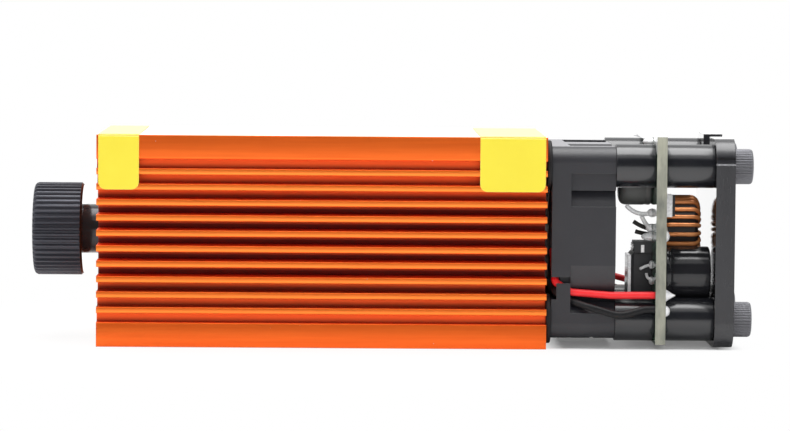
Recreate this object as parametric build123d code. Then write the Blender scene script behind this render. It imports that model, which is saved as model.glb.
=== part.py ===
from build123d import *
import math
import os

# Laser diode module. A finned heat sink holds the diode and a focusing lens at its front (-X).
# Behind it (+X) four long screws carry a fan, a driver board and an end plate on spacers.
# Millimetres; X runs along the optical axis, Z is up, and the origin is the middle of the
# heat sink's underside.

# Heat sink extrusion
SINK_LENGTH = 70.0
SINK_SIDE = 33.0
SINK_BAND = 3.8  # solid metal above and below the fins
SINK_EDGE = 0.25  # chamfer along the four long edges
FIN_COUNT = 10
FIN_THICK = 1.0
FIN_TIP = 0.2  # chamfer on each side of a fin's tip
GAP_RAMP = 3  # gaps over which the depth grows from the edge to the middle
EDGE_WALL = 1.2  # metal left beside a corner screw hole
BORE_WALL = 5.0  # metal left beside the diode bore
AXIS_RISE = 0.8  # optical axis above the middle of the heat sink

# Screws of the stack and the mounting screws below
SCREW_DIA = 3.0
SCREW_ENGAGE = 10.4  # length of thread in the heat sink
SCREW_PITCH = 24.0  # spacing of the corner screws, both ways
HEAD_DIA = 5.5
HEAD_HEIGHT = 3.0
HEAD_EDGE = 0.35
SOCKET_FLATS = 2.5
SOCKET_DEPTH = 1.6
THREAD_CLEAR = 0.02  # screw to tapped hole
PASS_CLEAR = 0.1  # screw to plain hole
HOLE_SPARE = 1.0  # tapped depth beyond the screw's end
BASE_PITCH = 30.0  # spacing of the two mounting holes in the underside
BASE_DEPTH = 5.0

# Diode housing and what it holds
HOUSING_DIA = 12.0
HOUSING_LENGTH = 30.0
HOUSING_CLEAR = 0.03
HOUSING_WALL = 1.5  # round the threaded chamber for the lens barrel
CHAMBER_DEPTH = 14.0
SEAT_THICK = 1.6  # wall that the diode sits against
SEAT_APERTURE = 4.4
STEM_DIA = 5.6
STEM_THICK = 1.2
CAP_DIA = 3.6
CAP_HEIGHT = 2.3
PIN_DIA = 0.5
PIN_LENGTH = 6.2
PIN_CIRCLE = 2.0
RETAINER_WALL = 2.0  # housing round the retainer's thread
RETAINER_RIM = 1.5  # metal between the retainer's thread and its hole
RETAINER_THICK = 3.0
SEAT_CLEAR = 0.02
GRUB_PLACE = 9.0  # behind the heat sink's front face
GRUB_LENGTH = 8.0

# Focusing lens
KNOB_GAP = 2.9  # heat sink to knob
KNOB_LENGTH = 7.8
KNOB_DIA = 14.7
KNOB_FLUTES = 48
FLUTE_DEPTH = 0.35
KNOB_EDGE = 0.7
KNOB_LIP = 0.9  # knob in front of the barrel's wall
KNOB_FLARE = 1.2  # countersink at the mouth of the aperture
NOSE_WALL = 2.2  # knob wall in front of the barrel
BARREL_CLEAR = 0.05  # running fit of the barrel's thread
BARREL_THREAD = 6.5
NECK_STEP = 0.6  # chamber to the barrel's neck
BARREL_WALL = 0.6  # neck to lens
LENS_LIP = 0.6  # shoulder in front of the lens
LENS_THICK = 2.2
LENS_BULGE = 0.8
LENS_CLEAR = 0.02
RING_THICK = 0.8
SPRING_LENGTH = 4.0
SPRING_WIRE = 0.5
SPRING_TURNS = 2.5

# Passage and channel for the laser leads
PASSAGE_DIA = 6.0
CHANNEL_WIDTH = 3.8
CHANNEL_DEPTH = 1.3

# Stack behind the heat sink
WASHER_THICK = 0.8
WASHER_DIA = 7.8
FRONT_SPACER = 6.2
REAR_SPACER = 7.65
SPACER_DIA = 6.8
BOARD_EDGE = 4.2  # screw middle to board edge
BOARD_THICK = 1.6
BOARD_RISE = 0.5  # board's middle above the screw pattern's middle
PLATE_EDGE = 4.35  # screw middle to plate edge
PLATE_THICK = 3.0
PLATE_CORNER = 4.0
NOTCH_WIDTH = 10.0
NOTCH_DEPTH = 6.2
NOTCH_CORNER = 1.0

# Fan
FAN_SIDE = 30.0
FAN_DEPTH = 10.0
FAN_CORNER = 2.5
FLANGE_THICK = 3.0
DUCT_DIA = 28.4
DUCT_WALL = 1.2
POST_SIDE = 4.1
POST_BOSS = 2.6  # radius of the round boss behind each flange corner
PANEL_TOP = 5.7  # upper end of the flat side panel, above the fan's middle
PANEL_DEPTH = 2.0
SHOULDER_LOW = 8.2  # lower end of the step below the near top post
SHOULDER_INSET = 0.6
SHOULDER_DEPTH = 2.6
BASE_DISC = 14.0
BASE_THICK = 1.6
STRUT_WIDTH = 1.6
STRUT_COUNT = 4
BEARING_DIA = 3.0
BEARING_LENGTH = 4.8
TUBE_WALL = 0.9
TUBE_LIP = 0.4
SHAFT_DIA = 1.5
SHAFT_CLEAR = 0.03
HUB_DIA = 13.6
HUB_WALL = 0.7
HUB_TOP = 0.9
ROTOR_FRONT_GAP = 1.6  # motor base to rotor
ROTOR_REAR_GAP = 0.5  # rotor short of the frame's rear face
BLADE_COUNT = 7
BLADE_THICK = 0.7
BLADE_MARGIN = 0.3  # blade short of the hub's two ends
ROOT_PITCH = 40.0  # degrees from the axis
TIP_PITCH = 55.0
TIP_CLEAR = 0.45
MAGNET_THICK = 0.8
MAGNET_MARGIN = 0.4
STATOR_GAP = 0.4
STATOR_THICK = 2.6
STATOR_YOKE = 0.9
STATOR_LIFT = 0.8  # circuit to stator
POLE_COUNT = 4
POLE_WIDTH = 1.2
SHOE_THICK = 0.6
COIL_BUILD = 0.6
COIL_CLEAR = 0.1
CIRCUIT_DIA = 11.0
CIRCUIT_THICK = 0.6

# Wire hook in the fan's flange, measured from the fan's middle and near side
HOOK_SKIN = 0.42  # finger and skin outside the wire channel
HOOK_CHANNEL = 1.3
HOOK_LOW = -10.1
HOOK_SLOT_LOW = -6.3
HOOK_SLOT_HIGH = -5.3
HOOK_POCKET_HIGH = -4.3
HOOK_POCKET_DEPTH = 1.4
HOOK_WINDOW = 0.8  # open front edge where the red lead turns in

# Leads, with chosen points as (y, z) from the middle of the screw pattern
FAN_LEAD_DIA = 1.15
LASER_LEAD_DIA = 1.05
LEAD_HOLE = 0.7
JOINT_DIA = 1.1
RED_JOINT_DIA = 2.0  # at the fan's red lead
JOINT_HEIGHT = 1.4
JOINT_TIP = 0.3
BEND = 1.2  # usual bend radius of a lead
TIGHT_BEND = 0.75  # round the edge of the fan's flange
SLACK_BEND = 4.0  # where a lead hangs freely
RIM_CLEAR = 0.15  # end of a fan lead to the motor base
RED_TURN = 14.0  # degrees below level where the fan's leads leave its motor
BLACK_TURN = 28.0
LEAD_LAYER = 0.65  # middle of the fan's leads behind its front face
LEAD_STEP = 0.1  # where they turn back, behind the flange
LEAD_STRAIGHT = 1.6  # straight end of a lead at the board
LEAD_SUNK = 0.45  # middle of the laser leads below the heat sink's rear face
LEAD_SKIN = 0.78  # middle of the laser leads inside the heat sink's far side
RED_BEND_AT = (-10.5, -3.1)
RED_HOOK_AT = (-13.95, -6.15)
RED_BACK_AT = (-13.95, -7.7)
RED_SAG_AT = (-14.4, -8.15)
RED_SAG_PLACE = 0.8  # in front of the fan's rear face
BLACK_BEND_AT = (-9.7, -5.15)
BLACK_HOOK_AT = (-13.9, -7.8)
BLACK_BACK_AT = (-13.8, -9.15)
BLACK_BOW_AT = (-15.4, -10.0)
BLACK_BOW_PLACE = 3.1  # behind the flange
BLACK_SAG_AT = (-16.0, -11.25)
LASER_RED_SAG_AT = (15.6, -7.1)
LASER_BLACK_SAG_AT = (15.72, -8.9)
LEAD_SAG_PLACE = 0.7  # behind the fan's rear face
RED_END_INSET = 1.6  # hole in the board to its side edge
RED_END_Z = -8.1
BLACK_END_INSET = 0.6
BLACK_END_Z = -10.2
LASER_RED_INSET = 1.2
LASER_RED_Z = -8.1
LASER_BLACK_INSET = 0.8
LASER_BLACK_Z = -9.9

# Parts on the board, placed from the middle of the screw pattern as (y, z)
CORE_OUTER = 9.6
CORE_INNER = 5.0
CORE_THICK = 5.4
CORE_EDGE = 0.5
COPPER_DIA = 0.52
COPPER_TURNS = 22
COPPER_CLEAR = 0.04
INDUCTOR_AT = (-1.0, 1.55)
OUTPUT_CAN_DIA = 8.4
OUTPUT_CAN_AT = (-8.6, -5.0)
OUTPUT_CAN_GAP = 0.25  # can to end plate
CRIMP_PLACE = 1.6
CRIMP_DEPTH = 0.3
CAN_EDGE = 0.5
INPUT_CAN_DIA = 6.3
INPUT_CAN_AT = (-5.0, 8.65)
INPUT_CAN_GAP = 1.0  # can to fan
CAN_LEAD_DIA = 0.6
CAN_LEAD_PITCH = 2.5
CAN_LEAD_PROUD = 1.4  # bent end of a can's lead in front of the board
CAN_LEAD_DROP = 1.3
CAN_LEAD_BEND = 0.7
TRANSISTOR_WIDTH = 7.0
TRANSISTOR_HEIGHT = 9.9
TRANSISTOR_THICK = 3.2
TRANSISTOR_AT = (-4.4, -6.9)
TAB_THICK = 0.5
TAB_INSET = 0.4
LEG_WIDTH = 0.8
LEG_THICK = 0.5
LEG_PITCH = 2.54
LEG_DROP = 2.0
TRIMMER_WIDTH = 4.0
TRIMMER_HEIGHT = 1.8
TRIMMER_THICK = 2.9
TRIMMER_AT = (-7.0, -0.95)
TRIMMER_SCREW = 1.4
TRIMMER_PROUD = 0.3
HEADER_WIDTH = 9.9
HEADER_HEIGHT = 5.7
HEADER_WALL = 0.8
HEADER_FLOOR = 1.2
HEADER_GAP = 1.0  # header to end plate
HEADER_AT = (0.0, 11.8)
HEADER_SLOT = 1.6
PIN_SIDE = 0.64
PIN_PITCH = 2.5
PIN_SHORT = 1.0  # pins end this far inside the mouth
CHIP_WIDTH = 2.6
CHIP_HEIGHT = 3.6
CHIP_THICK = 1.5
CHIP_AT = (-8.2, 5.6)
RESISTOR_WIDTH = 1.3
RESISTOR_HEIGHT = 2.0
RESISTOR_THICK = 0.5
RESISTOR_PLACES = [(-11.6, 1.4), (7.5, 2.0), (7.5, -2.0), (9.5, -2.0)]
DRIVER_SIDE = 4.0
DRIVER_THICK = 1.5
DRIVER_AT = (9.0, 6.5)

# Stickers over the near top edge
STICKER_THICK = 0.12
STICKER_DROP = 8.5
STICKER_CORNER = 1.2
STICKER_MARGIN = 0.8  # short of the far top edge
FRONT_STICKER = 6.3
FRONT_STICKER_INSET = 0.3
REAR_STICKER = 10.2
REAR_STICKER_INSET = 0.3

# Places along X
sink_front = -SINK_LENGTH / 2
sink_rear = SINK_LENGTH / 2
fan_front = sink_rear + WASHER_THICK
fan_rear = fan_front + FAN_DEPTH
board_front = fan_rear + FRONT_SPACER
board_rear = board_front + BOARD_THICK
plate_front = board_rear + REAR_SPACER
plate_rear = plate_front + PLATE_THICK
seat_front = sink_front + CHAMBER_DEPTH
seat_rear = seat_front + SEAT_THICK
stem_rear = seat_rear + STEM_THICK
housing_rear = sink_front + HOUSING_LENGTH
pin_end = stem_rear + PIN_LENGTH
barrel_rear = seat_front - SPRING_LENGTH
knob_rear = sink_front - KNOB_GAP
knob_front = knob_rear - KNOB_LENGTH
barrel_front = knob_front + NOSE_WALL
motor_base = fan_front + BASE_THICK
circuit_rear = motor_base + CIRCUIT_THICK
rotor_front = motor_base + ROTOR_FRONT_GAP
rotor_rear = fan_rear - ROTOR_REAR_GAP
hub_floor = rotor_rear - HUB_TOP

# Heights and radii that several pieces share
half_side = SINK_SIDE / 2
middle = SINK_SIDE / 2
axis_z = middle + AXIS_RISE
tapped = SCREW_DIA / 2 + THREAD_CLEAR
plain = SCREW_DIA / 2 + PASS_CLEAR
bore = HOUSING_DIA / 2 + HOUSING_CLEAR
chamber = HOUSING_DIA / 2 - HOUSING_WALL
retainer = HOUSING_DIA / 2 - RETAINER_WALL
neck = chamber - NECK_STEP
lens = neck - BARREL_WALL
beam = lens - LENS_LIP
duct = DUCT_DIA / 2
blade_tip = duct - TIP_CLEAR
hub_inner = HUB_DIA / 2 - HUB_WALL
magnet_inner = hub_inner - MAGNET_THICK
tube_outer = BEARING_DIA / 2 + TUBE_WALL
board_half = SCREW_PITCH / 2 + BOARD_EDGE
plate_half = SCREW_PITCH / 2 + PLATE_EDGE
places = [(y, middle + z) for y in (-SCREW_PITCH / 2, SCREW_PITCH / 2)
          for z in (-SCREW_PITCH / 2, SCREW_PITCH / 2)]


def rod(x0, x1, radius, y=0.0, z=0.0):
    """Cylinder along X from x0 to x1."""
    return Pos((x0 + x1) / 2, y, z) * Rot(0, 90, 0) * Cylinder(radius, x1 - x0)


def tube(x0, x1, outer, inner, y=0.0, z=0.0):
    """Plain round sleeve along X."""
    return rod(x0, x1, outer, y, z) - rod(x0, x1, inner, y, z)


def block(x0, x1, y0, y1, z0, z1):
    """Box between two corners."""
    box = Box(x1 - x0, y1 - y0, z1 - z0)
    return Pos((x0 + x1) / 2, (y0 + y1) / 2, (z0 + z1) / 2) * box


def turned(points, y=0.0, z=0.0):
    """Solid turned about the line along X through (y, z); points are (x, radius)."""
    return Pos(0, y, z) * revolve(Polygon(*points, align=None), Axis.X, 360)


def slab(sketch, x0, x1, y=0.0, z=0.0):
    """A sketch drawn in (y, z), extruded along X."""
    return Pos(x0, y, z) * extrude(Plane.YZ * sketch, x1 - x0)


def lead(points, radii, diameter):
    """Round lead along straight runs and tangent arcs."""
    path = FilletPolyline(*points, radius=radii)
    section = Plane(origin=path @ 0, z_dir=path % 0) * Circle(diameter / 2)
    return sweep(section, path=path)


def gap_depth(index):
    """Depth of a fin gap, shallow beside the corner screws and deep in the middle."""
    edge = half_side - SCREW_PITCH / 2 - tapped - EDGE_WALL
    deep = half_side - bore - BORE_WALL
    steps = min(index, FIN_COUNT - index, GAP_RAMP)
    return edge + (deep - edge) * steps / GAP_RAMP


def heat_sink():
    section = chamfer(Rectangle(SINK_SIDE, SINK_SIDE).vertices(), SINK_EDGE)
    gap = (SINK_SIDE - 2 * SINK_BAND - FIN_COUNT * FIN_THICK) / (FIN_COUNT + 1)
    for index in range(FIN_COUNT + 1):
        low = -half_side + SINK_BAND + index * (gap + FIN_THICK)
        high = low + gap
        floor = -half_side + gap_depth(index)
        cut = Polygon(
            (-half_side - FIN_TIP, low - 2 * FIN_TIP), (-half_side + FIN_TIP, low), (floor, low),
            (floor, high), (-half_side + FIN_TIP, high), (-half_side - FIN_TIP, high + 2 * FIN_TIP),
            align=None)
        section -= cut
        section -= mirror(cut, Plane.YZ)
    body = slab(section, sink_front, sink_rear, 0, middle)
    body -= rod(sink_front, housing_rear, bore, 0, axis_z)
    body -= rod(housing_rear, sink_rear, PASSAGE_DIA / 2, 0, axis_z)
    channel_low = axis_z - CHANNEL_WIDTH / 2
    body -= block(sink_rear - CHANNEL_DEPTH, sink_rear, 0, SINK_SIDE, channel_low,
                  channel_low + CHANNEL_WIDTH)
    for y, z in places:
        body -= rod(sink_rear - SCREW_ENGAGE - HOLE_SPARE, sink_rear, tapped, y, z)
    for x in (-BASE_PITCH / 2, BASE_PITCH / 2):
        body -= Pos(x, 0, BASE_DEPTH / 2) * Cylinder(tapped, BASE_DEPTH)
    body -= Pos(sink_front + GRUB_PLACE, 0, axis_z / 2) * Cylinder(tapped, axis_z)
    return body


def grub_screw():
    top = axis_z - bore + HOUSING_CLEAR
    body = Pos(sink_front + GRUB_PLACE, 0, top - GRUB_LENGTH / 2) * Cylinder(SCREW_DIA / 2, GRUB_LENGTH)
    hexagon = RegularPolygon(SOCKET_FLATS / 2, 6, major_radius=False)
    socket = Pos(sink_front + GRUB_PLACE, 0, top - GRUB_LENGTH) * extrude(hexagon, SOCKET_DEPTH)
    crown = Pos(0, 0, axis_z) * Rot(0, 90, 0) * Cylinder(HOUSING_DIA / 2, SINK_LENGTH * 2)
    return body - socket - crown


def diode_housing():
    outer = HOUSING_DIA / 2
    pocket = STEM_DIA / 2 + SEAT_CLEAR
    thread = retainer + SEAT_CLEAR
    return turned([
        (sink_front, outer), (housing_rear, outer), (housing_rear, thread), (stem_rear, thread),
        (stem_rear, pocket), (seat_rear, pocket), (seat_rear, SEAT_APERTURE / 2),
        (seat_front, SEAT_APERTURE / 2), (seat_front, chamber), (sink_front, chamber)], 0, axis_z)


def laser_diode():
    body = rod(seat_rear, stem_rear, STEM_DIA / 2) + rod(seat_rear - CAP_HEIGHT, seat_rear, CAP_DIA / 2)
    for angle in (90, 180, 270):
        y = PIN_CIRCLE / 2 * math.cos(math.radians(angle))
        z = PIN_CIRCLE / 2 * math.sin(math.radians(angle))
        body += rod(stem_rear, pin_end, PIN_DIA / 2, y, z)
    return Pos(0, 0, axis_z) * body


def diode_retainer():
    return tube(stem_rear, stem_rear + RETAINER_THICK, retainer, retainer - RETAINER_RIM, 0, axis_z)


def lens_barrel():
    thread = chamber - BARREL_CLEAR
    pocket = lens + LENS_CLEAR
    shoulder = barrel_rear - LENS_THICK - RING_THICK
    return turned([
        (barrel_front, neck), (barrel_rear - BARREL_THREAD, neck), (barrel_rear - BARREL_THREAD, thread),
        (barrel_rear, thread), (barrel_rear, pocket), (shoulder, pocket), (shoulder, beam),
        (barrel_front, beam)], 0, axis_z)


def focus_lens():
    rear = barrel_rear - RING_THICK
    clear = beam - BARREL_CLEAR
    front = rear - LENS_THICK
    tip = front - LENS_BULGE
    radius = (clear ** 2 + LENS_BULGE ** 2) / (2 * LENS_BULGE)
    sag = radius - math.sqrt(radius ** 2 - (clear / 2) ** 2)
    outline = Polyline((tip, 0), (rear, 0), (rear, lens), (front, lens), (front, clear))
    crown = ThreePointArc((front, clear), (tip + sag, clear / 2), (tip, 0))
    profile = make_face([*outline.edges(), *crown.edges()])
    return Pos(0, 0, axis_z) * revolve(profile, Axis.X, 360)


def lens_ring():
    return tube(barrel_rear - RING_THICK, barrel_rear, lens, beam, 0, axis_z)


def focus_spring():
    radius = chamber - SPRING_WIRE / 2 - 2 * BARREL_CLEAR
    height = SPRING_LENGTH - SPRING_WIRE
    path = Helix(height / SPRING_TURNS, height, radius)
    section = Plane(origin=path @ 0, x_dir=(1, 0, 0), z_dir=path % 0) * Rectangle(SPRING_WIRE, SPRING_WIRE)
    coil = sweep(section, path=path, is_frenet=True)
    start = barrel_rear + SPRING_WIRE / 2
    return Pos(start, 0, axis_z) * Rot(0, 90, 0) * coil


def focus_knob():
    outer = KNOB_DIA / 2
    points = []
    for index in range(2 * KNOB_FLUTES):
        angle = math.pi * index / KNOB_FLUTES
        radius = outer - FLUTE_DEPTH * (index % 2)
        points.append((radius * math.cos(angle), radius * math.sin(angle)))
    fluted = slab(Polygon(*points, align=None), knob_front, knob_rear, 0, axis_z)
    envelope = turned([
        (knob_front, 0), (knob_front, outer - KNOB_EDGE),
        (knob_front + KNOB_EDGE * 0.3, outer - KNOB_EDGE * 0.3),
        (knob_front + KNOB_EDGE, outer), (knob_rear - KNOB_EDGE / 2, outer),
        (knob_rear, outer - KNOB_EDGE / 2), (knob_rear, 0)], 0, axis_z)
    aperture = neck - KNOB_LIP
    hollow = turned([
        (knob_front, 0), (knob_front, aperture + KNOB_FLARE), (knob_front + KNOB_FLARE, aperture),
        (barrel_front, aperture), (barrel_front, neck), (knob_rear, neck), (knob_rear, 0)], 0, axis_z)
    return (fluted & envelope) - hollow


def at_places(piece):
    """One copy of a piece at each corner screw, as separate solids."""
    return Compound([Pos(0, y, z) * piece for y, z in places])


def fan_washers():
    return at_places(tube(sink_rear, fan_front, WASHER_DIA / 2, plain))


def front_spacers():
    return at_places(tube(fan_rear, board_front, SPACER_DIA / 2, plain))


def rear_spacers():
    return at_places(tube(board_rear, plate_front, SPACER_DIA / 2, plain))


def long_screws():
    end = plate_rear + HEAD_HEIGHT
    head = HEAD_DIA / 2
    screw = turned([
        (sink_rear - SCREW_ENGAGE, 0), (sink_rear - SCREW_ENGAGE, SCREW_DIA / 2), (plate_rear, SCREW_DIA / 2),
        (plate_rear, head), (end - HEAD_EDGE, head), (end, head - HEAD_EDGE), (end, 0)])
    hexagon = RegularPolygon(SOCKET_FLATS / 2, 6, major_radius=False)
    return at_places(screw - slab(hexagon, end - SOCKET_DEPTH, end))


def fan_frame():
    half = FAN_SIDE / 2
    square = RectangleRounded(FAN_SIDE, FAN_SIDE, FAN_CORNER)
    rear = Circle(duct + DUCT_WALL)
    corner = half - POST_SIDE / 2
    for y in (-1, 1):
        for z in (-1, 1):
            rear += Pos(y * corner, z * corner) * Rectangle(POST_SIDE, POST_SIDE)
            rear += Pos(y * SCREW_PITCH / 2, z * SCREW_PITCH / 2) * Circle(POST_BOSS)
    rear += Pos(PANEL_DEPTH / 2 - half, PANEL_TOP / 2) * Rectangle(PANEL_DEPTH, PANEL_TOP)
    shoulder = half - POST_SIDE - SHOULDER_LOW
    rear += Pos(SHOULDER_INSET + SHOULDER_DEPTH / 2 - half, SHOULDER_LOW + shoulder / 2) * Rectangle(
        SHOULDER_DEPTH, shoulder)
    rear &= square
    frame = slab(square, 0, FLANGE_THICK) + slab(rear, 0, FAN_DEPTH)
    frame -= rod(0, FAN_DEPTH, duct)
    for index in range(STRUT_COUNT):
        arm = block(0, BASE_THICK, 0, duct + DUCT_WALL / 2, -STRUT_WIDTH / 2, STRUT_WIDTH / 2)
        frame += Rot(45 + 360 / STRUT_COUNT * index, 0, 0) * arm
    frame += rod(0, BASE_THICK, BASE_DISC / 2)
    pocket = motor_base - fan_front + TUBE_LIP
    frame += rod(0, pocket + BEARING_LENGTH, tube_outer)
    frame -= rod(pocket, pocket + BEARING_LENGTH, BEARING_DIA / 2)
    frame -= rod(BASE_THICK, pocket, BEARING_DIA / 2 - TUBE_LIP)
    for y, z in places:
        frame -= rod(0, FAN_DEPTH, plain, y, z - middle)
    skin = -half + HOOK_SKIN
    channel = skin + HOOK_CHANNEL
    frame -= block(0, FLANGE_THICK, skin, channel, HOOK_LOW, HOOK_SLOT_HIGH)
    frame -= block(0, FLANGE_THICK, -half, channel, HOOK_SLOT_LOW, HOOK_SLOT_HIGH)
    frame -= block(0, HOOK_POCKET_DEPTH, skin, -BASE_DISC / 2, HOOK_LOW + HOOK_CHANNEL, HOOK_POCKET_HIGH)
    frame -= block(0, HOOK_WINDOW, -half, skin, HOOK_LOW + HOOK_CHANNEL, HOOK_SLOT_HIGH)
    return Pos(fan_front, 0, middle) * frame


def fan_rotor():
    hub = rod(rotor_front, rotor_rear, HUB_DIA / 2) - rod(rotor_front, hub_floor, hub_inner)
    height = rotor_rear - rotor_front - 2 * BLADE_MARGIN
    root = hub_inner + BLADE_MARGIN / 2
    chord_root = height / math.cos(math.radians(ROOT_PITCH)) - BLADE_THICK
    chord_tip = height / math.cos(math.radians(TIP_PITCH)) - BLADE_THICK
    low = Pos(0, 0, root) * Rot(0, 0, ROOT_PITCH) * Rectangle(chord_root, BLADE_THICK)
    high = Pos(0, 0, duct) * Rot(0, 0, TIP_PITCH) * Rectangle(chord_tip, BLADE_THICK)
    blade = Pos((rotor_front + rotor_rear) / 2, 0, 0) * loft([low, high], ruled=True)
    blade &= rod(rotor_front, rotor_rear, blade_tip)
    for index in range(BLADE_COUNT):
        hub += Rot(360 / BLADE_COUNT * index, 0, 0) * blade
    return Pos(0, 0, middle) * hub


def fan_magnet():
    return tube(rotor_front + MAGNET_MARGIN, hub_floor - MAGNET_MARGIN, hub_inner, magnet_inner, 0, middle)


def fan_shaft():
    return rod(motor_base + TUBE_LIP, hub_floor, SHAFT_DIA / 2, 0, middle)


def fan_bearing():
    start = motor_base + TUBE_LIP
    inner = SHAFT_DIA / 2 + SHAFT_CLEAR
    return tube(start, start + BEARING_LENGTH, BEARING_DIA / 2, inner, 0, middle)


def stator_outline():
    """Stator lamination in (y, z): a yoke, poles and pole shoes."""
    tip = magnet_inner - STATOR_GAP
    shape = Circle(tube_outer + STATOR_YOKE)
    for index in range(POLE_COUNT):
        turn = Rot(0, 0, 360 / POLE_COUNT * index)
        shape += turn * Pos(tip / 2, 0) * Rectangle(tip, POLE_WIDTH)
        shape += turn * Pos(tip - SHOE_THICK / 2, 0) * Rectangle(SHOE_THICK, POLE_WIDTH * 3)
    return (shape & Circle(tip)) - Circle(tube_outer)


def fan_stator():
    start = circuit_rear + STATOR_LIFT
    return slab(stator_outline(), start, start + STATOR_THICK, 0, middle)


def fan_coils():
    start = circuit_rear + STATOR_LIFT
    inner = tube_outer + STATOR_YOKE + COIL_CLEAR
    outer = magnet_inner - STATOR_GAP - SHOE_THICK - COIL_CLEAR
    window = POLE_WIDTH / 2 + COIL_CLEAR
    wall = window + COIL_BUILD
    low = start - COIL_CLEAR
    high = start + STATOR_THICK + COIL_CLEAR
    coil = block(low - COIL_BUILD, high + COIL_BUILD, inner, outer, -wall, wall)
    coil -= block(low, high, inner, outer, -window, window)
    coils = [Rot(360 / POLE_COUNT * index, 0, 0) * coil for index in range(POLE_COUNT)]
    return Pos(0, 0, middle) * Compound(coils)


def fan_circuit():
    return tube(motor_base, circuit_rear, CIRCUIT_DIA / 2, tube_outer, 0, middle)


def driver_board():
    board = block(board_front, board_rear, -board_half, board_half,
                  middle + BOARD_RISE - board_half, middle + BOARD_RISE + board_half)
    for y, z in places:
        board -= rod(board_front, board_rear, plain, y, z)
    for y, z in lead_ends() + can_lead_places():
        board -= rod(board_front, board_rear, LEAD_HOLE / 2, y, z)
    return board


def end_plate():
    outline = RectangleRounded(2 * plate_half, 2 * plate_half, PLATE_CORNER)
    notch = RectangleRounded(NOTCH_WIDTH, 2 * NOTCH_DEPTH, NOTCH_CORNER)
    outline -= Pos(0, plate_half) * notch
    plate = slab(outline, plate_front, plate_rear, 0, middle)
    for y, z in places:
        plate -= rod(plate_front, plate_rear, plain, y, z)
    return plate


def above(x, place):
    """Point at x and at (y, z) from the middle of the screw pattern."""
    return (x, place[0], middle + place[1])


def fan_lead_routes():
    """Points of the fan's red and black leads, from the motor base to the board."""
    start = BASE_DISC / 2 + RIM_CLEAR
    layer = fan_front + LEAD_LAYER
    back = fan_front + FLANGE_THICK + LEAD_STEP
    last = board_front - LEAD_STRAIGHT
    red_at = math.radians(RED_TURN)
    black_at = math.radians(BLACK_TURN)
    red_end = (RED_END_INSET - board_half, RED_END_Z)
    black_end = (BLACK_END_INSET - board_half, BLACK_END_Z)
    red = [above(layer, (-start * math.cos(red_at), -start * math.sin(red_at))),
           above(layer, RED_BEND_AT), above(layer, RED_HOOK_AT), above(back, RED_BACK_AT),
           above(fan_rear - RED_SAG_PLACE, RED_SAG_AT), above(last, red_end), above(board_front, red_end)]
    black = [above(layer, (-start * math.cos(black_at), -start * math.sin(black_at))),
             above(layer, BLACK_BEND_AT), above(layer, BLACK_HOOK_AT), above(back, BLACK_BACK_AT),
             above(back + BLACK_BOW_PLACE, BLACK_BOW_AT), above(fan_rear + LEAD_SAG_PLACE, BLACK_SAG_AT),
             above(last, black_end), above(board_front, black_end)]
    return red, black


def laser_lead_routes():
    """Points of the diode's red and black leads, through the passage and along the far side."""
    high = axis_z + PIN_CIRCLE / 2
    low = axis_z - PIN_CIRCLE / 2
    sunk = sink_rear - LEAD_SUNK
    last = board_front - LEAD_STRAIGHT
    sag = fan_rear + LEAD_SAG_PLACE
    far = half_side - LEAD_SKIN
    red_end = (board_half - LASER_RED_INSET, LASER_RED_Z)
    black_end = (board_half - LASER_BLACK_INSET, LASER_BLACK_Z)
    red = [(pin_end, 0, high), (sunk, 0, high), (sunk, far, high), above(sag, LASER_RED_SAG_AT),
           above(last, red_end), above(board_front, red_end)]
    black = [(pin_end, 0, low), (sunk, 0, low), (sunk, far, low), above(sag, LASER_BLACK_SAG_AT),
             above(last, black_end), above(board_front, black_end)]
    return red, black


def lead_ends():
    """Where the leads go through the board, as (y, z)."""
    return [route[-1][1:] for route in fan_lead_routes() + laser_lead_routes()]


def fan_lead_red():
    return lead(fan_lead_routes()[0], [BEND, TIGHT_BEND, BEND, SLACK_BEND, SLACK_BEND], FAN_LEAD_DIA)


def fan_lead_black():
    return lead(fan_lead_routes()[1], [BEND, TIGHT_BEND, BEND, SLACK_BEND, SLACK_BEND, BEND], FAN_LEAD_DIA)


def laser_lead_red():
    return lead(laser_lead_routes()[0], [BEND, BEND, SLACK_BEND, BEND], LASER_LEAD_DIA)


def laser_lead_black():
    return lead(laser_lead_routes()[1], [BEND, BEND, SLACK_BEND, BEND], LASER_LEAD_DIA)


def solder_joints():
    joints = []
    for index, (y, z) in enumerate(lead_ends()):
        base = JOINT_DIA if index else RED_JOINT_DIA
        joints.append(turned([
            (board_front, 0), (board_front, LEAD_HOLE / 2), (board_rear, LEAD_HOLE / 2),
            (board_rear, base / 2), (board_rear + JOINT_HEIGHT * 0.4, base * 0.3),
            (board_rear + JOINT_HEIGHT, JOINT_TIP / 2), (board_rear + JOINT_HEIGHT, 0)], y, z))
    return Compound(joints)


def inductor_core():
    y, z = INDUCTOR_AT
    start = board_rear + COPPER_DIA + COPPER_CLEAR
    outer = CORE_OUTER / 2
    inner = CORE_INNER / 2
    end = start + CORE_THICK
    return turned([
        (start, inner + CORE_EDGE), (start + CORE_EDGE, inner), (end - CORE_EDGE, inner),
        (end, inner + CORE_EDGE), (end, outer - CORE_EDGE), (end - CORE_EDGE, outer),
        (start + CORE_EDGE, outer), (start, outer - CORE_EDGE)], y, middle + z)


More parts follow.
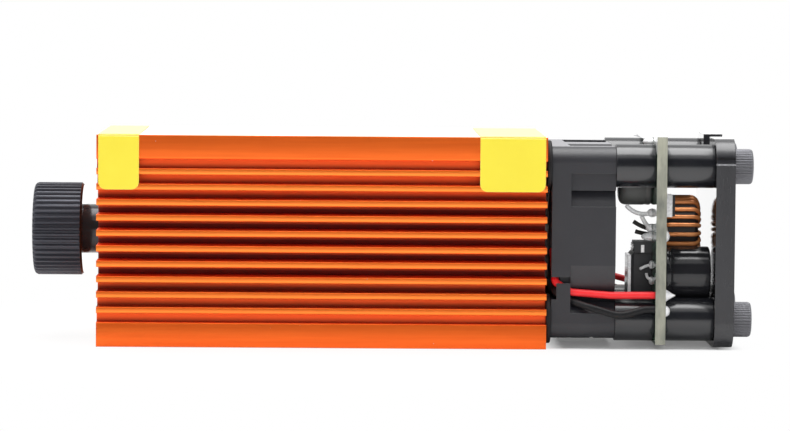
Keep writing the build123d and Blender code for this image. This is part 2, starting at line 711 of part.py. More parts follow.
def inductor_winding():
    y, z = INDUCTOR_AT
    inner = CORE_INNER / 2 - COPPER_CLEAR
    outer = CORE_OUTER / 2 + COPPER_CLEAR
    start = board_rear + COPPER_DIA
    end = start + CORE_THICK + 2 * COPPER_CLEAR
    window = Pos((start + end) / 2, (inner + outer) / 2) * Rectangle(end - start, outer - inner)
    window = chamfer(window.vertices(), CORE_EDGE)
    frame = Pos((start + end) / 2, (inner + outer) / 2) * Rectangle(
        end - start + 2 * COPPER_DIA, outer - inner + 2 * COPPER_DIA)
    frame = chamfer(frame.vertices(), CORE_EDGE + COPPER_DIA * 0.6)
    loop = extrude(frame - window, COPPER_DIA / 2, both=True)
    turns = [Rot(360 / COPPER_TURNS * index, 0, 0) * loop for index in range(COPPER_TURNS)]
    return Pos(0, y, middle + z) * Compound(turns)


def can(base, end, radius, y, z):
    """Capacitor lying along X, its base on the board and a crimp near it."""
    side = 1 if end > base else -1
    groove = base + side * CRIMP_PLACE
    return turned([
        (base, 0), (base, radius - CAN_EDGE), (base + side * CAN_EDGE, radius),
        (groove - side * CRIMP_DEPTH, radius), (groove, radius - CRIMP_DEPTH),
        (groove + side * CRIMP_DEPTH, radius), (end - side * CAN_EDGE, radius), (end, radius - CAN_EDGE),
        (end, 0)], y, middle + z)


def output_capacitor():
    return can(board_rear, plate_front - OUTPUT_CAN_GAP, OUTPUT_CAN_DIA / 2, *OUTPUT_CAN_AT)


def input_capacitor():
    return can(board_front, fan_rear + INPUT_CAN_GAP, INPUT_CAN_DIA / 2, *INPUT_CAN_AT)


def can_lead_places():
    """Where the output capacitor's leads go through the board, as (y, z)."""
    y, z = OUTPUT_CAN_AT
    return [(y, middle + z + side * CAN_LEAD_PITCH / 2) for side in (-1, 1)]


def capacitor_leads():
    front = board_front - CAN_LEAD_PROUD
    leads = []
    for y, z in can_lead_places():
        route = [(board_rear, y, z), (front, y, z), (front, y, z - CAN_LEAD_DROP)]
        leads.append(lead(route, [CAN_LEAD_BEND], CAN_LEAD_DIA))
    return Compound(leads)


def transistor_body():
    y, z = TRANSISTOR_AT
    z += middle
    half = TRANSISTOR_WIDTH / 2
    body = block(board_front - TRANSISTOR_THICK, board_front, y - half, y + half,
                 z - TRANSISTOR_HEIGHT / 2, z + TRANSISTOR_HEIGHT / 2)
    top_edges = body.faces().sort_by(Axis.X)[0].edges()
    return chamfer(top_edges, TAB_INSET)


def transistor_tab():
    y, z = TRANSISTOR_AT
    z += middle
    half = TRANSISTOR_WIDTH / 2 - TAB_INSET
    end = board_front - TRANSISTOR_THICK
    return block(end - TAB_THICK, end, y - half, y + half,
                 z - TRANSISTOR_HEIGHT / 2 + TAB_INSET, z + TRANSISTOR_HEIGHT / 2 - TAB_INSET)


def transistor_legs():
    y, z = TRANSISTOR_AT
    low = middle + z - TRANSISTOR_HEIGHT / 2
    x = board_front - TRANSISTOR_THICK / 2
    legs = []
    for index in (-1, 0, 1):
        left = y + index * LEG_PITCH - LEG_WIDTH / 2
        leg = block(x - LEG_THICK, x, left, left + LEG_WIDTH, low - LEG_DROP, low)
        foot = low - LEG_DROP
        leg += block(x - LEG_THICK, board_front, left, left + LEG_WIDTH, foot, foot + LEG_THICK)
        legs.append(leg)
    return Compound(legs)


def trimmer():
    y, z = TRIMMER_AT
    z += middle
    front = board_front - TRIMMER_THICK
    body = block(front, board_front, y - TRIMMER_WIDTH / 2, y + TRIMMER_WIDTH / 2,
                 z - TRIMMER_HEIGHT / 2, z + TRIMMER_HEIGHT / 2)
    return body - rod(front, front + TRIMMER_PROUD, TRIMMER_SCREW / 2 + PASS_CLEAR, y, z)


def trimmer_screw():
    y, z = TRIMMER_AT
    front = board_front - TRIMMER_THICK
    screw = rod(front - TRIMMER_PROUD, front + TRIMMER_PROUD, TRIMMER_SCREW / 2, y, middle + z)
    slot = block(front - TRIMMER_PROUD, front, y - TRIMMER_SCREW, y + TRIMMER_SCREW,
                 middle + z - PASS_CLEAR, middle + z + PASS_CLEAR)
    return screw - slot


def header_end():
    """X of the power header's mouth."""
    return plate_front - HEADER_GAP


def power_header():
    y, z = HEADER_AT
    z += middle
    width = HEADER_WIDTH / 2
    height = HEADER_HEIGHT / 2
    body = block(board_rear, header_end(), y - width, y + width, z - height, z + height)
    body -= block(board_rear + HEADER_FLOOR, header_end(), y - width + HEADER_WALL, y + width - HEADER_WALL,
                  z - height + HEADER_WALL, z + height - HEADER_WALL)
    for side in (-1, 1):
        middle_y = y + side * PIN_PITCH
        body -= block(board_rear + HEADER_FLOOR, header_end(), middle_y - HEADER_SLOT / 2,
                      middle_y + HEADER_SLOT / 2, z - height, z - height + HEADER_WALL)
    for index in (-1, 0, 1):
        left = y + index * PIN_PITCH - PIN_SIDE / 2
        body -= block(board_rear, board_rear + HEADER_FLOOR, left, left + PIN_SIDE,
                      z - PIN_SIDE / 2, z + PIN_SIDE / 2)
    return body


def header_pins():
    y, z = HEADER_AT
    z += middle
    pins = []
    for index in (-1, 0, 1):
        left = y + index * PIN_PITCH - PIN_SIDE / 2
        pins.append(block(board_rear, header_end() - PIN_SHORT, left, left + PIN_SIDE,
                          z - PIN_SIDE / 2, z + PIN_SIDE / 2))
    return Compound(pins)


def on_board(place, width, height, thick):
    """A flat part on the rear face of the board."""
    y, z = place
    z += middle
    return block(board_rear, board_rear + thick, y - width / 2, y + width / 2, z - height / 2, z + height / 2)


def sense_resistor():
    return on_board(CHIP_AT, CHIP_WIDTH, CHIP_HEIGHT, CHIP_THICK)


def chip_resistors():
    return Compound([on_board(p, RESISTOR_WIDTH, RESISTOR_HEIGHT, RESISTOR_THICK) for p in RESISTOR_PLACES])


def driver_chip():
    return on_board(DRIVER_AT, DRIVER_SIDE, DRIVER_SIDE, DRIVER_THICK)


def sticker(x0, x1):
    """Thin sheet that covers the top face and folds down over the near edge."""
    drop = SINK_SIDE - STICKER_DROP
    near = -half_side
    flap = block(x0, x1, near - STICKER_THICK, near, drop, SINK_SIDE - SINK_EDGE)
    low_edges = flap.edges().filter_by(Axis.Y).group_by(Axis.Z)[0]
    flap = fillet(low_edges, STICKER_CORNER)
    fold = Polygon(
        (near - STICKER_THICK, SINK_SIDE - SINK_EDGE), (near, SINK_SIDE - SINK_EDGE),
        (near + SINK_EDGE, SINK_SIDE), (near + SINK_EDGE, SINK_SIDE + STICKER_THICK), align=None)
    far = half_side - SINK_EDGE - STICKER_MARGIN
    top = block(x0, x1, near + SINK_EDGE, far, SINK_SIDE, SINK_SIDE + STICKER_THICK)
    return flap + slab(fold, x0, x1) + top


def front_sticker():
    start = sink_front + FRONT_STICKER_INSET
    return sticker(start, start + FRONT_STICKER)


def rear_sticker():
    end = sink_rear - REAR_STICKER_INSET
    return sticker(end - REAR_STICKER, end)


PIECES = [
    heat_sink, grub_screw, diode_housing, laser_diode, diode_retainer, lens_barrel, focus_lens,
    lens_ring, focus_spring, focus_knob, fan_washers, fan_frame, fan_rotor, fan_magnet, fan_shaft,
    fan_bearing, fan_stator, fan_coils, fan_circuit, front_spacers, driver_board, rear_spacers,
    end_plate, long_screws, fan_lead_red, fan_lead_black, laser_lead_red, laser_lead_black,
    solder_joints, inductor_core, inductor_winding, output_capacitor, input_capacitor,
    capacitor_leads, transistor_body, transistor_tab, transistor_legs, trimmer, trimmer_screw,
    power_header, header_pins, sense_resistor, chip_resistors, driver_chip, front_sticker,
    rear_sticker]

os.makedirs("parts", exist_ok=True)
for make in PIECES:
    export_step(make(), f"parts/{make.__name__}.step")
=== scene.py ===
import bpy
import math
import random
from mathutils import Matrix, Vector


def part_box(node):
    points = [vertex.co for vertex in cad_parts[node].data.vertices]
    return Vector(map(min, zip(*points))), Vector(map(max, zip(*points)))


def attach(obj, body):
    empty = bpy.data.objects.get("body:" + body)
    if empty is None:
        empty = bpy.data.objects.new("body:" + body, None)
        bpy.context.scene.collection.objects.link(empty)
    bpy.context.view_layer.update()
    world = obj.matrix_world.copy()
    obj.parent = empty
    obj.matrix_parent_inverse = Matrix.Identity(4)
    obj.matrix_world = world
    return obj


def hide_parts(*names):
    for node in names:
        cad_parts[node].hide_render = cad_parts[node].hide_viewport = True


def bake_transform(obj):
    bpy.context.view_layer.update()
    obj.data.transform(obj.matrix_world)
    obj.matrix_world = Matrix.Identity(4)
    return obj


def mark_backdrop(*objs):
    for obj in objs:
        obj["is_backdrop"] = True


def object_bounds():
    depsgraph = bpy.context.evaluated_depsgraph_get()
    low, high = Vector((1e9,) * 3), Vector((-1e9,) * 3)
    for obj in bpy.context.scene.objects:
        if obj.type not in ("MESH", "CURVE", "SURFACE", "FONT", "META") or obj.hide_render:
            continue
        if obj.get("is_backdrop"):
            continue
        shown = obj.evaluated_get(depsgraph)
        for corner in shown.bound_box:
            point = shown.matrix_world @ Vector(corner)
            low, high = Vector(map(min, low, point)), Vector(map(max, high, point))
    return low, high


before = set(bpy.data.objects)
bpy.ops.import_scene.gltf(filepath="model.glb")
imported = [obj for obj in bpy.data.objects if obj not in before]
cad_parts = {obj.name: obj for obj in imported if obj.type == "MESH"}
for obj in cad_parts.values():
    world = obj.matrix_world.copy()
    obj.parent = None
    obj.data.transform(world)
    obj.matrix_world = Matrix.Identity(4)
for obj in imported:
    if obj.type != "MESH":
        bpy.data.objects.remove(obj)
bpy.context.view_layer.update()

# Heat sink: a 70 mm length of square aluminium extrusion with fins along both sides, anodised orange-red.
# The bar is sawn to length, its edges are eased, and the diode bore and screw holes are drilled into it.
MM = 0.001


def select_none():
    bpy.ops.object.select_all(action="DESELECT")


def take(piece):
    """Selects one piece alone and makes it the active one."""
    select_none()
    piece.select_set(True)
    bpy.context.view_layer.objects.active = piece


def fix_place():
    """Bakes the place, turn and size of the selected piece into its mesh."""
    bpy.ops.object.transform_apply(location=True, rotation=True, scale=True)


def new_block(name, low, high):
    """A cube between two corners."""
    select_none()
    low, high = Vector(low), Vector(high)
    bpy.ops.mesh.primitive_cube_add(size=1, location=(low + high) / 2)
    piece = bpy.context.object
    piece.name = name
    piece.scale = high - low
    fix_place()
    return piece


def start_picking(kind):
    """Clears the selection in the active mesh, to pick its points or its edges."""
    bpy.ops.object.mode_set(mode="EDIT")
    bpy.ops.mesh.select_mode(type=kind)
    bpy.ops.mesh.select_all(action="DESELECT")
    bpy.ops.object.mode_set(mode="OBJECT")


def pick_edges(piece, wanted):
    """Goes into edit mode with the edges selected that are wanted by their two ends."""
    start_picking("EDGE")
    points = piece.data.vertices
    for edge in piece.data.edges:
        edge.select = wanted(points[edge.vertices[0]].co, points[edge.vertices[1]].co)
    bpy.ops.object.mode_set(mode="EDIT")


def use_modifier(piece, kind, **settings):
    """Adds a modifier to a piece and applies it."""
    tool = piece.modifiers.new(kind.title(), kind)
    for key, value in settings.items():
        setattr(tool, key, value)
    bpy.context.view_layer.objects.active = piece
    bpy.ops.object.modifier_apply(modifier=tool.name)


def ease_edges(piece, width, steps=2, angle=30):
    """Rounds every edge of a piece that is sharper than an angle."""
    use_modifier(piece, "BEVEL", width=width, segments=steps, limit_method="ANGLE",
                 angle_limit=math.radians(angle), harden_normals=False)


def smooth(piece, angle=35):
    """Shades a piece smooth, apart from edges that are sharper than an angle."""
    take(piece)
    bpy.ops.object.shade_smooth_by_angle(angle=math.radians(angle))


def join_up(pieces, into):
    """Joins meshes into one of them."""
    take(into)
    for piece in pieces:
        piece.select_set(True)
    bpy.ops.object.join()


def cut_away(piece, cutter):
    """Takes one mesh out of another."""
    use_modifier(piece, "BOOLEAN", object=cutter, operation="DIFFERENCE", solver="MANIFOLD")
    bpy.data.objects.remove(cutter)


TILTS = {"X": (0, math.pi / 2, 0), "Z": (0, 0, 0)}  # turns what is made along Z to an axis


def drill(piece, middle, length, radius, axis="X", sides=48):
    """Drills a round hole, or one with few flats, along an axis."""
    select_none()
    bpy.ops.mesh.primitive_cylinder_add(vertices=sides, radius=radius, depth=length, location=middle,
                                        rotation=TILTS[axis])
    bit = bpy.context.object
    fix_place()
    cut_away(piece, bit)


def tone(red, green, blue):
    """A colour as a screen shows it, 0 to 255, for a shader socket."""
    return tuple(c / 12.92 if c <= 0.04045 else ((c + 0.055) / 1.055) ** 2.4
                 for c in (red / 255, green / 255, blue / 255)) + (1.0,)


def maths(owner, operation, *values, clamp=False):
    """A maths node in a material, the world or a node group, fed with numbers and sockets."""
    tree = getattr(owner, "node_tree", owner)
    node = tree.nodes.new("ShaderNodeMath")
    node.operation = operation
    node.use_clamp = clamp
    for socket, value in zip(node.inputs, values):
        if isinstance(value, (int, float)):
            socket.default_value = value
        else:
            tree.links.new(value, socket)
    return node.outputs[0]


def ramp(owner, value, start, end):
    """A value that rises from 0 at start to 1 at end, and stays there."""
    return maths(owner, "MULTIPLY_ADD", value, 1 / (end - start), start / (start - end), clamp=True)


def new_group(name, takes, gives):
    """An empty shader node group with its sockets."""
    group = bpy.data.node_groups.new(name, "ShaderNodeTree")
    for label, kind, value in takes:
        socket = group.interface.new_socket(name=label, in_out="INPUT", socket_type=kind)
        if value is not None:
            socket.default_value = value
    for label, kind in gives:
        group.interface.new_socket(name=label, in_out="OUTPUT", socket_type=kind)
    return group, group.nodes.new("NodeGroupInput"), group.nodes.new("NodeGroupOutput")


# Grain: slow mottling and fine grain on Object coordinates.
# It is drawn out along one way for rolled or extruded metal.
grain_group, entry, exit_ = new_group(
    "grain", [("Place", "NodeSocketVector", None), ("Stretch", "NodeSocketVector", (1, 1, 1)),
              ("Coarse", "NodeSocketFloat", 150.0), ("Fine", "NodeSocketFloat", 2500.0)],
    [("Mottle", "NodeSocketFloat"), ("Grain", "NodeSocketFloat")])
stretched = grain_group.nodes.new("ShaderNodeVectorMath")
stretched.operation = "MULTIPLY"
grain_group.links.new(entry.outputs["Place"], stretched.inputs[0])
grain_group.links.new(entry.outputs["Stretch"], stretched.inputs[1])
for label, source in (("Mottle", "Coarse"), ("Grain", "Fine")):
    noise = grain_group.nodes.new("ShaderNodeTexNoise")
    noise.inputs["Detail"].default_value = 4.0
    noise.inputs["Roughness"].default_value = 0.6
    grain_group.links.new(stretched.outputs[0], noise.inputs["Vector"])
    grain_group.links.new(entry.outputs[source], noise.inputs["Scale"])
    level = grain_group.nodes.new("ShaderNodeMapRange")
    level.inputs["From Min"].default_value = 0.3
    level.inputs["From Max"].default_value = 0.7
    grain_group.links.new(noise.outputs["Fac"], level.inputs["Value"])
    grain_group.links.new(level.outputs["Result"], exit_.inputs[label])

# Rounded edges: a normal that turns over a sharp edge as if it had a small radius.
# A mask along that edge comes with it, for the paler colour of a worn or cut edge, which on the knurl is
# partly a painted highlight.
edge_group, entry, exit_ = new_group(
    "rounded_edges", [("Radius", "NodeSocketFloat", 0.0001)],
    [("Normal", "NodeSocketVector"), ("Edge", "NodeSocketFloat")])
rounding = edge_group.nodes.new("ShaderNodeBevel")
rounding.samples = 6
edge_group.links.new(entry.outputs["Radius"], rounding.inputs["Radius"])
edge_group.links.new(rounding.outputs["Normal"], exit_.inputs["Normal"])
facing = edge_group.nodes.new("ShaderNodeNewGeometry")
along_face = edge_group.nodes.new("ShaderNodeVectorMath")
along_face.operation = "DOT_PRODUCT"
edge_group.links.new(rounding.outputs["Normal"], along_face.inputs[0])
edge_group.links.new(facing.outputs["True Normal"], along_face.inputs[1])
turned_away = edge_group.nodes.new("ShaderNodeMapRange")
turned_away.inputs["From Min"].default_value = 0.99
turned_away.inputs["From Max"].default_value = 0.75
edge_group.links.new(along_face.outputs["Value"], turned_away.inputs["Value"])
edge_group.links.new(turned_away.outputs["Result"], exit_.inputs["Edge"])

# Specks: sparse dust and lint, as small round dots of uneven size.
# A share of the cells of a cell pattern each carry one dot at their middle.
speck_group, entry, exit_ = new_group(
    "specks", [("Place", "NodeSocketVector", None), ("Scale", "NodeSocketFloat", 400.0),
               ("Share", "NodeSocketFloat", 0.1)], [("Mask", "NodeSocketFloat")])
cells = speck_group.nodes.new("ShaderNodeTexVoronoi")
speck_group.links.new(entry.outputs["Place"], cells.inputs["Vector"])
speck_group.links.new(entry.outputs["Scale"], cells.inputs["Scale"])
lot = speck_group.nodes.new("ShaderNodeSeparateColor")
speck_group.links.new(cells.outputs["Color"], lot.inputs["Color"])
chosen = maths(speck_group, "LESS_THAN", lot.outputs["Red"], entry.outputs["Share"])
reach = maths(speck_group, "MULTIPLY", lot.outputs["Green"], 0.3)
on_dot = maths(speck_group, "LESS_THAN", cells.outputs["Distance"], reach)
speck_group.links.new(maths(speck_group, "MULTIPLY", chosen, on_dot), exit_.inputs["Mask"])


def use_group(made, group, **values):
    """A node group in a material, with its sockets set by name."""
    node = made.node_tree.nodes.new("ShaderNodeGroup")
    node.node_tree = group
    for label, value in values.items():
        node.inputs[label].default_value = value
    return node


def paint_over(made, mask, colour):
    """Mixes a colour over a finish where a mask says so."""
    nodes, links = made.node_tree.nodes, made.node_tree.links
    skin = nodes["Principled BSDF"]
    paint = nodes.new("ShaderNodeMix")
    paint.data_type = "RGBA"
    paint.inputs["B"].default_value = colour
    links.new(mask, paint.inputs["Factor"])
    links.new(skin.inputs["Base Color"].links[0].from_socket, paint.inputs["A"])
    links.new(paint.outputs["Result"], skin.inputs["Base Color"])


def new_finish(name, colour, worn, rough, metallic=0.0, stretch=(1, 1, 1), coarse=150.0, fine=2500.0,
               bump=0.1, radius=0.1, edge=None, dust=0.0, dust_scale=400.0, specular=0.5):
    """A material whose colour drifts towards worn over its grain, with eased edges and some dust."""
    made = bpy.data.materials.new(name)
    made.use_nodes = True
    nodes, links = made.node_tree.nodes, made.node_tree.links
    skin = nodes["Principled BSDF"]
    skin.inputs["Metallic"].default_value = metallic
    skin.inputs["Specular IOR Level"].default_value = specular
    place = nodes.new("ShaderNodeTexCoord")
    grain = use_group(made, grain_group, Stretch=stretch, Coarse=coarse, Fine=fine)
    links.new(place.outputs["Object"], grain.inputs["Place"])
    rim = use_group(made, edge_group, Radius=radius * MM)
    paint = nodes.new("ShaderNodeMix")
    paint.data_type = "RGBA"
    paint.inputs["A"].default_value = colour
    paint.inputs["B"].default_value = worn
    links.new(grain.outputs["Mottle"], paint.inputs["Factor"])
    links.new(paint.outputs["Result"], skin.inputs["Base Color"])
    if edge is not None:
        paint_over(made, rim.outputs["Edge"], edge)
    if dust > 0:
        specks = use_group(made, speck_group, Scale=dust_scale, Share=dust)
        links.new(place.outputs["Object"], specks.inputs["Place"])
        paint_over(made, specks.outputs["Mask"], tone(225, 225, 222))
    gloss = nodes.new("ShaderNodeMapRange")
    gloss.inputs["To Min"].default_value = rough[0]
    gloss.inputs["To Max"].default_value = rough[1]
    links.new(grain.outputs["Grain"], gloss.inputs["Value"])
    links.new(gloss.outputs["Result"], skin.inputs["Roughness"])
    relief = nodes.new("ShaderNodeBump")
    relief.inputs["Strength"].default_value = bump
    relief.inputs["Distance"].default_value = 0.02 * MM
    links.new(grain.outputs["Grain"], relief.inputs["Height"])
    links.new(rim.outputs["Normal"], relief.inputs["Normal"])
    links.new(relief.outputs["Normal"], skin.inputs["Normal"])
    return made


def object_place(made):
    """The three Object coordinates in a material."""
    nodes, links = made.node_tree.nodes, made.node_tree.links
    place = nodes.new("ShaderNodeTexCoord")
    parts = nodes.new("ShaderNodeSeparateXYZ")
    links.new(place.outputs["Object"], parts.inputs["Vector"])
    return parts.outputs["X"], parts.outputs["Y"], parts.outputs["Z"]


def square_to(made, axis):
    """A mask of the faces that are square to an axis."""
    nodes, links = made.node_tree.nodes, made.node_tree.links
    facing = nodes.new("ShaderNodeNewGeometry")
    parts = nodes.new("ShaderNodeSeparateXYZ")
    links.new(facing.outputs["True Normal"], parts.inputs["Vector"])
    return maths(made, "GREATER_THAN", maths(made, "ABSOLUTE", parts.outputs[axis]), 0.9)


def face_finish(made, axis, colour, rough, where=1.0):
    """Gives the faces that are square to an axis, inside a mask, their own colour and gloss."""
    nodes, links = made.node_tree.nodes, made.node_tree.links
    skin = nodes["Principled BSDF"]
    mask = maths(made, "MULTIPLY", square_to(made, axis), where)
    paint_over(made, mask, colour)
    gloss = nodes.new("ShaderNodeMix")
    gloss.data_type = "FLOAT"
    gloss.inputs["B"].default_value = rough
    links.new(mask, gloss.inputs["Factor"])
    links.new(skin.inputs["Roughness"].links[0].from_socket, gloss.inputs["A"])
    links.new(gloss.outputs["Result"], skin.inputs["Roughness"])


def glare(made, axis, colour, where):
    """Paints a reflection: pales the faces that are square to an axis, inside a mask, where they are seen
    almost edge on.
    """
    nodes, links = made.node_tree.nodes, made.node_tree.links
    glance = nodes.new("ShaderNodeLayerWeight")
    glance.inputs["Blend"].default_value = 0.5
    links.new(nodes.new("ShaderNodeNewGeometry").outputs["True Normal"], glance.inputs["Normal"])
    edge_on = ramp(made, glance.outputs["Facing"], 0.848, 0.928)
    mask = maths(made, "MULTIPLY", square_to(made, axis), where)
    paint_over(made, maths(made, "MULTIPLY", mask, edge_on), colour)


def dress(finish, *names):
    """Gives CAD nodes their finish."""
    for name in names:
        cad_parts[name].data.materials.clear()
        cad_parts[name].data.materials.append(finish)


def settle(piece, finish, nodes=(), body="root"):
    """Gives a new piece its finish, its body and the CAD nodes that it stands for."""
    piece.data.materials.clear()
    piece.data.materials.append(finish)
    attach(piece, body)
    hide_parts(*nodes)


sink_low, sink_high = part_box("heat_sink")
sink_mid_z = (sink_low.z + sink_high.z) / 2
housing_low, housing_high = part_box("diode_housing")
axis_z = (housing_low.z + housing_high.z) / 2
fins = 10
band, fin = 3.8 * MM, 1.0 * MM
gap = (sink_high.z - sink_low.z - 2 * band - fins * fin) / (fins + 1)
fin_pitch = gap + fin
first_depth, depth_step, full_depth = 1.78 * MM, 1.23 * MM, 5.47 * MM
gap_depths = [min(first_depth + depth_step * min(i, fins - i), full_depth) for i in range(fins + 1)]
gap_starts = [sink_low.z + band + i * fin_pitch for i in range(fins + 1)]

sink = new_block("heat_sink_bar", sink_low, sink_high)
clear = 18 * MM  # past the bar's sides
saws = []
for start, depth in zip(gap_starts, gap_depths):
    for side in (-1, 1):
        floor, past = side * (sink_high.y - depth), side * clear
        saws.append(new_block("saw", (sink_low.x - MM, min(floor, past), start),
                              (sink_high.x + MM, max(floor, past), start + gap)))
join_up(saws, saws[-1])
cut_away(sink, saws[-1])
fin_tops = gap_starts
fin_undersides = [start + gap for start in gap_starts]
outermost, lengthwise, exact = sink_high.y - 0.05 * MM, 60 * MM, 0.01 * MM
for levels, width, steps in (
        ([sink_low.z, sink_high.z], 0.14, 2), (fin_undersides, 0.42, 5), (fin_tops, 0.1, 2)):
    pick_edges(sink, lambda a, b: min(abs(a.y), abs(b.y)) > outermost and abs(a.x - b.x) > lengthwise
               and min(abs(a.z - level) for level in levels) < exact)
    bpy.ops.mesh.bevel(offset=width * MM, offset_type="OFFSET", segments=steps, affect="EDGES")
    bpy.ops.object.mode_set(mode="OBJECT")
bore, lead_way, tapped = 6.03 * MM, 3 * MM, 1.52 * MM
drill(sink, (-20 * MM, 0, axis_z), 30.2 * MM, bore, sides=64)
drill(sink, (15 * MM, 0, axis_z), 42 * MM, lead_way)
channel = new_block("lead_channel", (33.7 * MM, 0.73 * MM, axis_z - 1.9 * MM),
                    (36 * MM, clear, axis_z + 1.9 * MM))
cut_away(sink, channel)
corners = [(y * MM, sink_mid_z + z * MM) for y in (-12, 12) for z in (-12, 12)]
for y, z in corners:
    drill(sink, (30 * MM, y, z), 22.8 * MM, tapped, sides=24)
for x in (-15 * MM, 15 * MM):
    drill(sink, (x, 0, 0), 10 * MM, tapped, axis="Z", sides=24)
drill(sink, (-26 * MM, 0, 5 * MM), 12 * MM, tapped, axis="Z", sides=24)
smooth(sink, 30)

# Painted shade: the anodising's colour darkens towards the floor and the lower part of each gap, where little
# light gets in.
# Painted light: the gaps' tops are a brighter red, the fins pale towards their undersides as a painted
# highlight, and the top band carries a painted reflection where it is seen flat.
anodised = new_finish("orange_anodised", tone(254, 116, 38), tone(244, 104, 32), (0.34, 0.42), metallic=0.72,
                      stretch=(0.03, 1, 1), coarse=1400.0, fine=3800.0, bump=0.12, radius=0.1, dust=0.003,
                      dust_scale=2400.0)
sink_y, sink_z = object_place(anodised)[1:]
outward = maths(anodised, "ABSOLUTE", sink_y)
depth = ramp(anodised, outward, 14.8 * MM, 11.2 * MM)
steps_up = maths(anodised, "MULTIPLY_ADD", sink_z, 1 / fin_pitch, -gap_starts[0] / fin_pitch)
step_up = maths(anodised, "FRACT", steps_up)
lowness = ramp(anodised, step_up, gap / fin_pitch, 0)
deep = maths(anodised, "POWER", depth, 2.0)
steepness = maths(anodised, "MULTIPLY_ADD", deep, 0.95, 1.2)
reached = maths(anodised, "MULTIPLY_ADD", deep, 0.26, maths(anodised, "SUBTRACT", lowness, 0.38))
most = maths(anodised, "MULTIPLY_ADD", deep, 0.32, 0.6)
shade = maths(anodised, "MINIMUM", maths(anodised, "MULTIPLY", reached, steepness, clamp=True), most)
fin_rim = sink_high.y - 0.4 * MM
inside = maths(anodised, "MULTIPLY", maths(anodised, "LESS_THAN", outward, fin_rim),
               maths(anodised, "COMPARE", sink_z, sink_mid_z, 12.8 * MM))
inside = maths(anodised, "SUBTRACT", inside, square_to(anodised, "X"), clamp=True)
# Painted light: a brighter red over the gaps, then painted shade towards their floors.
paint_over(anodised, inside, tone(255, 101, 41))
paint_over(anodised, maths(anodised, "MULTIPLY", shade, inside), tone(78, 20, 24))
# Painted highlight on the fins' outer faces, stronger towards their undersides.
fin_highlight_share = ramp(anodised, step_up, 1, gap / fin_pitch)
on_fins = maths(anodised, "MULTIPLY", maths(anodised, "GREATER_THAN", outward, fin_rim),
                maths(anodised, "COMPARE", sink_z, sink_mid_z, 12.6 * MM))
paint_over(anodised, maths(anodised, "MULTIPLY", fin_highlight_share, on_fins), tone(255, 150, 60))
# Painted reflection: the top band goes pale where it is seen flat.
glare(anodised, "Z", tone(255, 251, 249), maths(anodised, "GREATER_THAN", sink_z, sink_high.z - 3 * MM))
settle(sink, anodised, ["heat_sink"])

# Stickers: two blank yellow vinyl labels, folded over the heat sink's near top edge and pressed down.
# The vinyl is glossy, with a paler cut edge, and its top flaps carry a painted reflection, pale where they
# are seen flat.
vinyl = new_finish("yellow_vinyl", tone(230, 215, 60), tone(226, 209, 54), (0.28, 0.36), coarse=120.0,
                   fine=1500.0, bump=0.03, radius=0.1, edge=tone(240, 234, 150))
glare(vinyl, "Z", tone(240, 238, 150), maths(vinyl, "GREATER_THAN", object_place(vinyl)[2], sink_high.z))
dress(vinyl, "front_sticker", "rear_sticker")

# Diode housing and its inner pieces: a turned brass sleeve held by a grub screw, with the diode pressed
# against its inner wall by a threaded ring. Only the front rim and the screw's socket can be seen.
brass = new_finish("turned_brass", tone(205, 168, 96), tone(188, 146, 78), (0.25, 0.4), metallic=1.0,
                   fine=4000.0, bump=0.1, radius=0.08)
dress(brass, "diode_housing", "diode_retainer", "lens_ring")
plated = new_finish("plated_can", tone(214, 200, 170), tone(196, 180, 148), (0.2, 0.3), metallic=1.0,
                    fine=3000.0)
dress(plated, "laser_diode")
black_oxide = new_finish("black_oxide", tone(126, 126, 130), tone(108, 108, 112), (0.5, 0.6), metallic=0.9,
                         fine=3000.0, bump=0.05, radius=0.12)
dress(black_oxide, "grub_screw")

# Lens barrel: a black anodised tube that screws into the housing and carries the lens and the knob.
# It is turned in one piece, so it is drawn out here ring by ring along its profile.


def close_ends():
    """In edit mode, fills the open ends of a piece and turns its faces outwards, then leaves edit mode."""
    bpy.ops.mesh.select_all(action="SELECT")
    bpy.ops.mesh.fill_holes(sides=0)
    bpy.ops.mesh.select_all(action="SELECT")
    bpy.ops.mesh.normals_make_consistent(inside=False)
    bpy.ops.object.mode_set(mode="OBJECT")


def turn(name, profile, centre, sides=64):
    """A piece turned about X: a circle drawn out along pairs of place and radius, in millimetres."""
    select_none()
    place, radius = profile[0]
    middle = Vector(centre) + Vector((place * MM, 0, 0))
    bpy.ops.mesh.primitive_circle_add(vertices=sides, radius=radius * MM, location=middle,
                                      rotation=TILTS["X"])
    piece = bpy.context.object
    piece.name = name
    fix_place()
    bpy.ops.object.mode_set(mode="EDIT")
    bpy.ops.mesh.select_mode(type="VERT")
    bpy.ops.mesh.select_all(action="SELECT")
    for next_place, next_radius in profile[1:]:
        step = Vector(((next_place - place) * MM, 0, 0))
        middle = middle + step
        bpy.ops.mesh.extrude_region_move(TRANSFORM_OT_translate={"value": step})
        grow = next_radius / radius
        bpy.ops.transform.resize(value=(1, grow, grow), center_override=middle)
        place, radius = next_place, next_radius
    bpy.ops.mesh.select_all(action="SELECT")
    bpy.ops.mesh.remove_doubles(threshold=0.001 * MM)
    close_ends()
    return piece


barrel_low, barrel_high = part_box("lens_barrel")
tube_front, tube_rear = barrel_low.x / MM, barrel_high.x / MM
thread_front, seat_front = tube_rear - 6.5, tube_rear - 3
neck, clear_way, thread, lens_seat = 3.9, 2.7, 4.45, 3.32  # radii
barrel = turn("lens_barrel_tube", [
    (tube_front, clear_way), (tube_front, neck), (thread_front, neck), (thread_front, thread),
    (tube_rear, thread), (tube_rear, lens_seat), (seat_front, lens_seat), (seat_front, clear_way),
    (tube_front, clear_way)], (0, 0, axis_z), sides=96)
ease_edges(barrel, 0.1 * MM)
smooth(barrel)
black_anodised = new_finish("black_anodised", tone(62, 61, 63), tone(50, 50, 53), (0.12, 0.2), metallic=0.5,
                            stretch=(1, 0.2, 0.2), fine=3500.0, bump=0.05, radius=0.08)
settle(barrel, black_anodised, ["lens_barrel"], body="focus_knob")
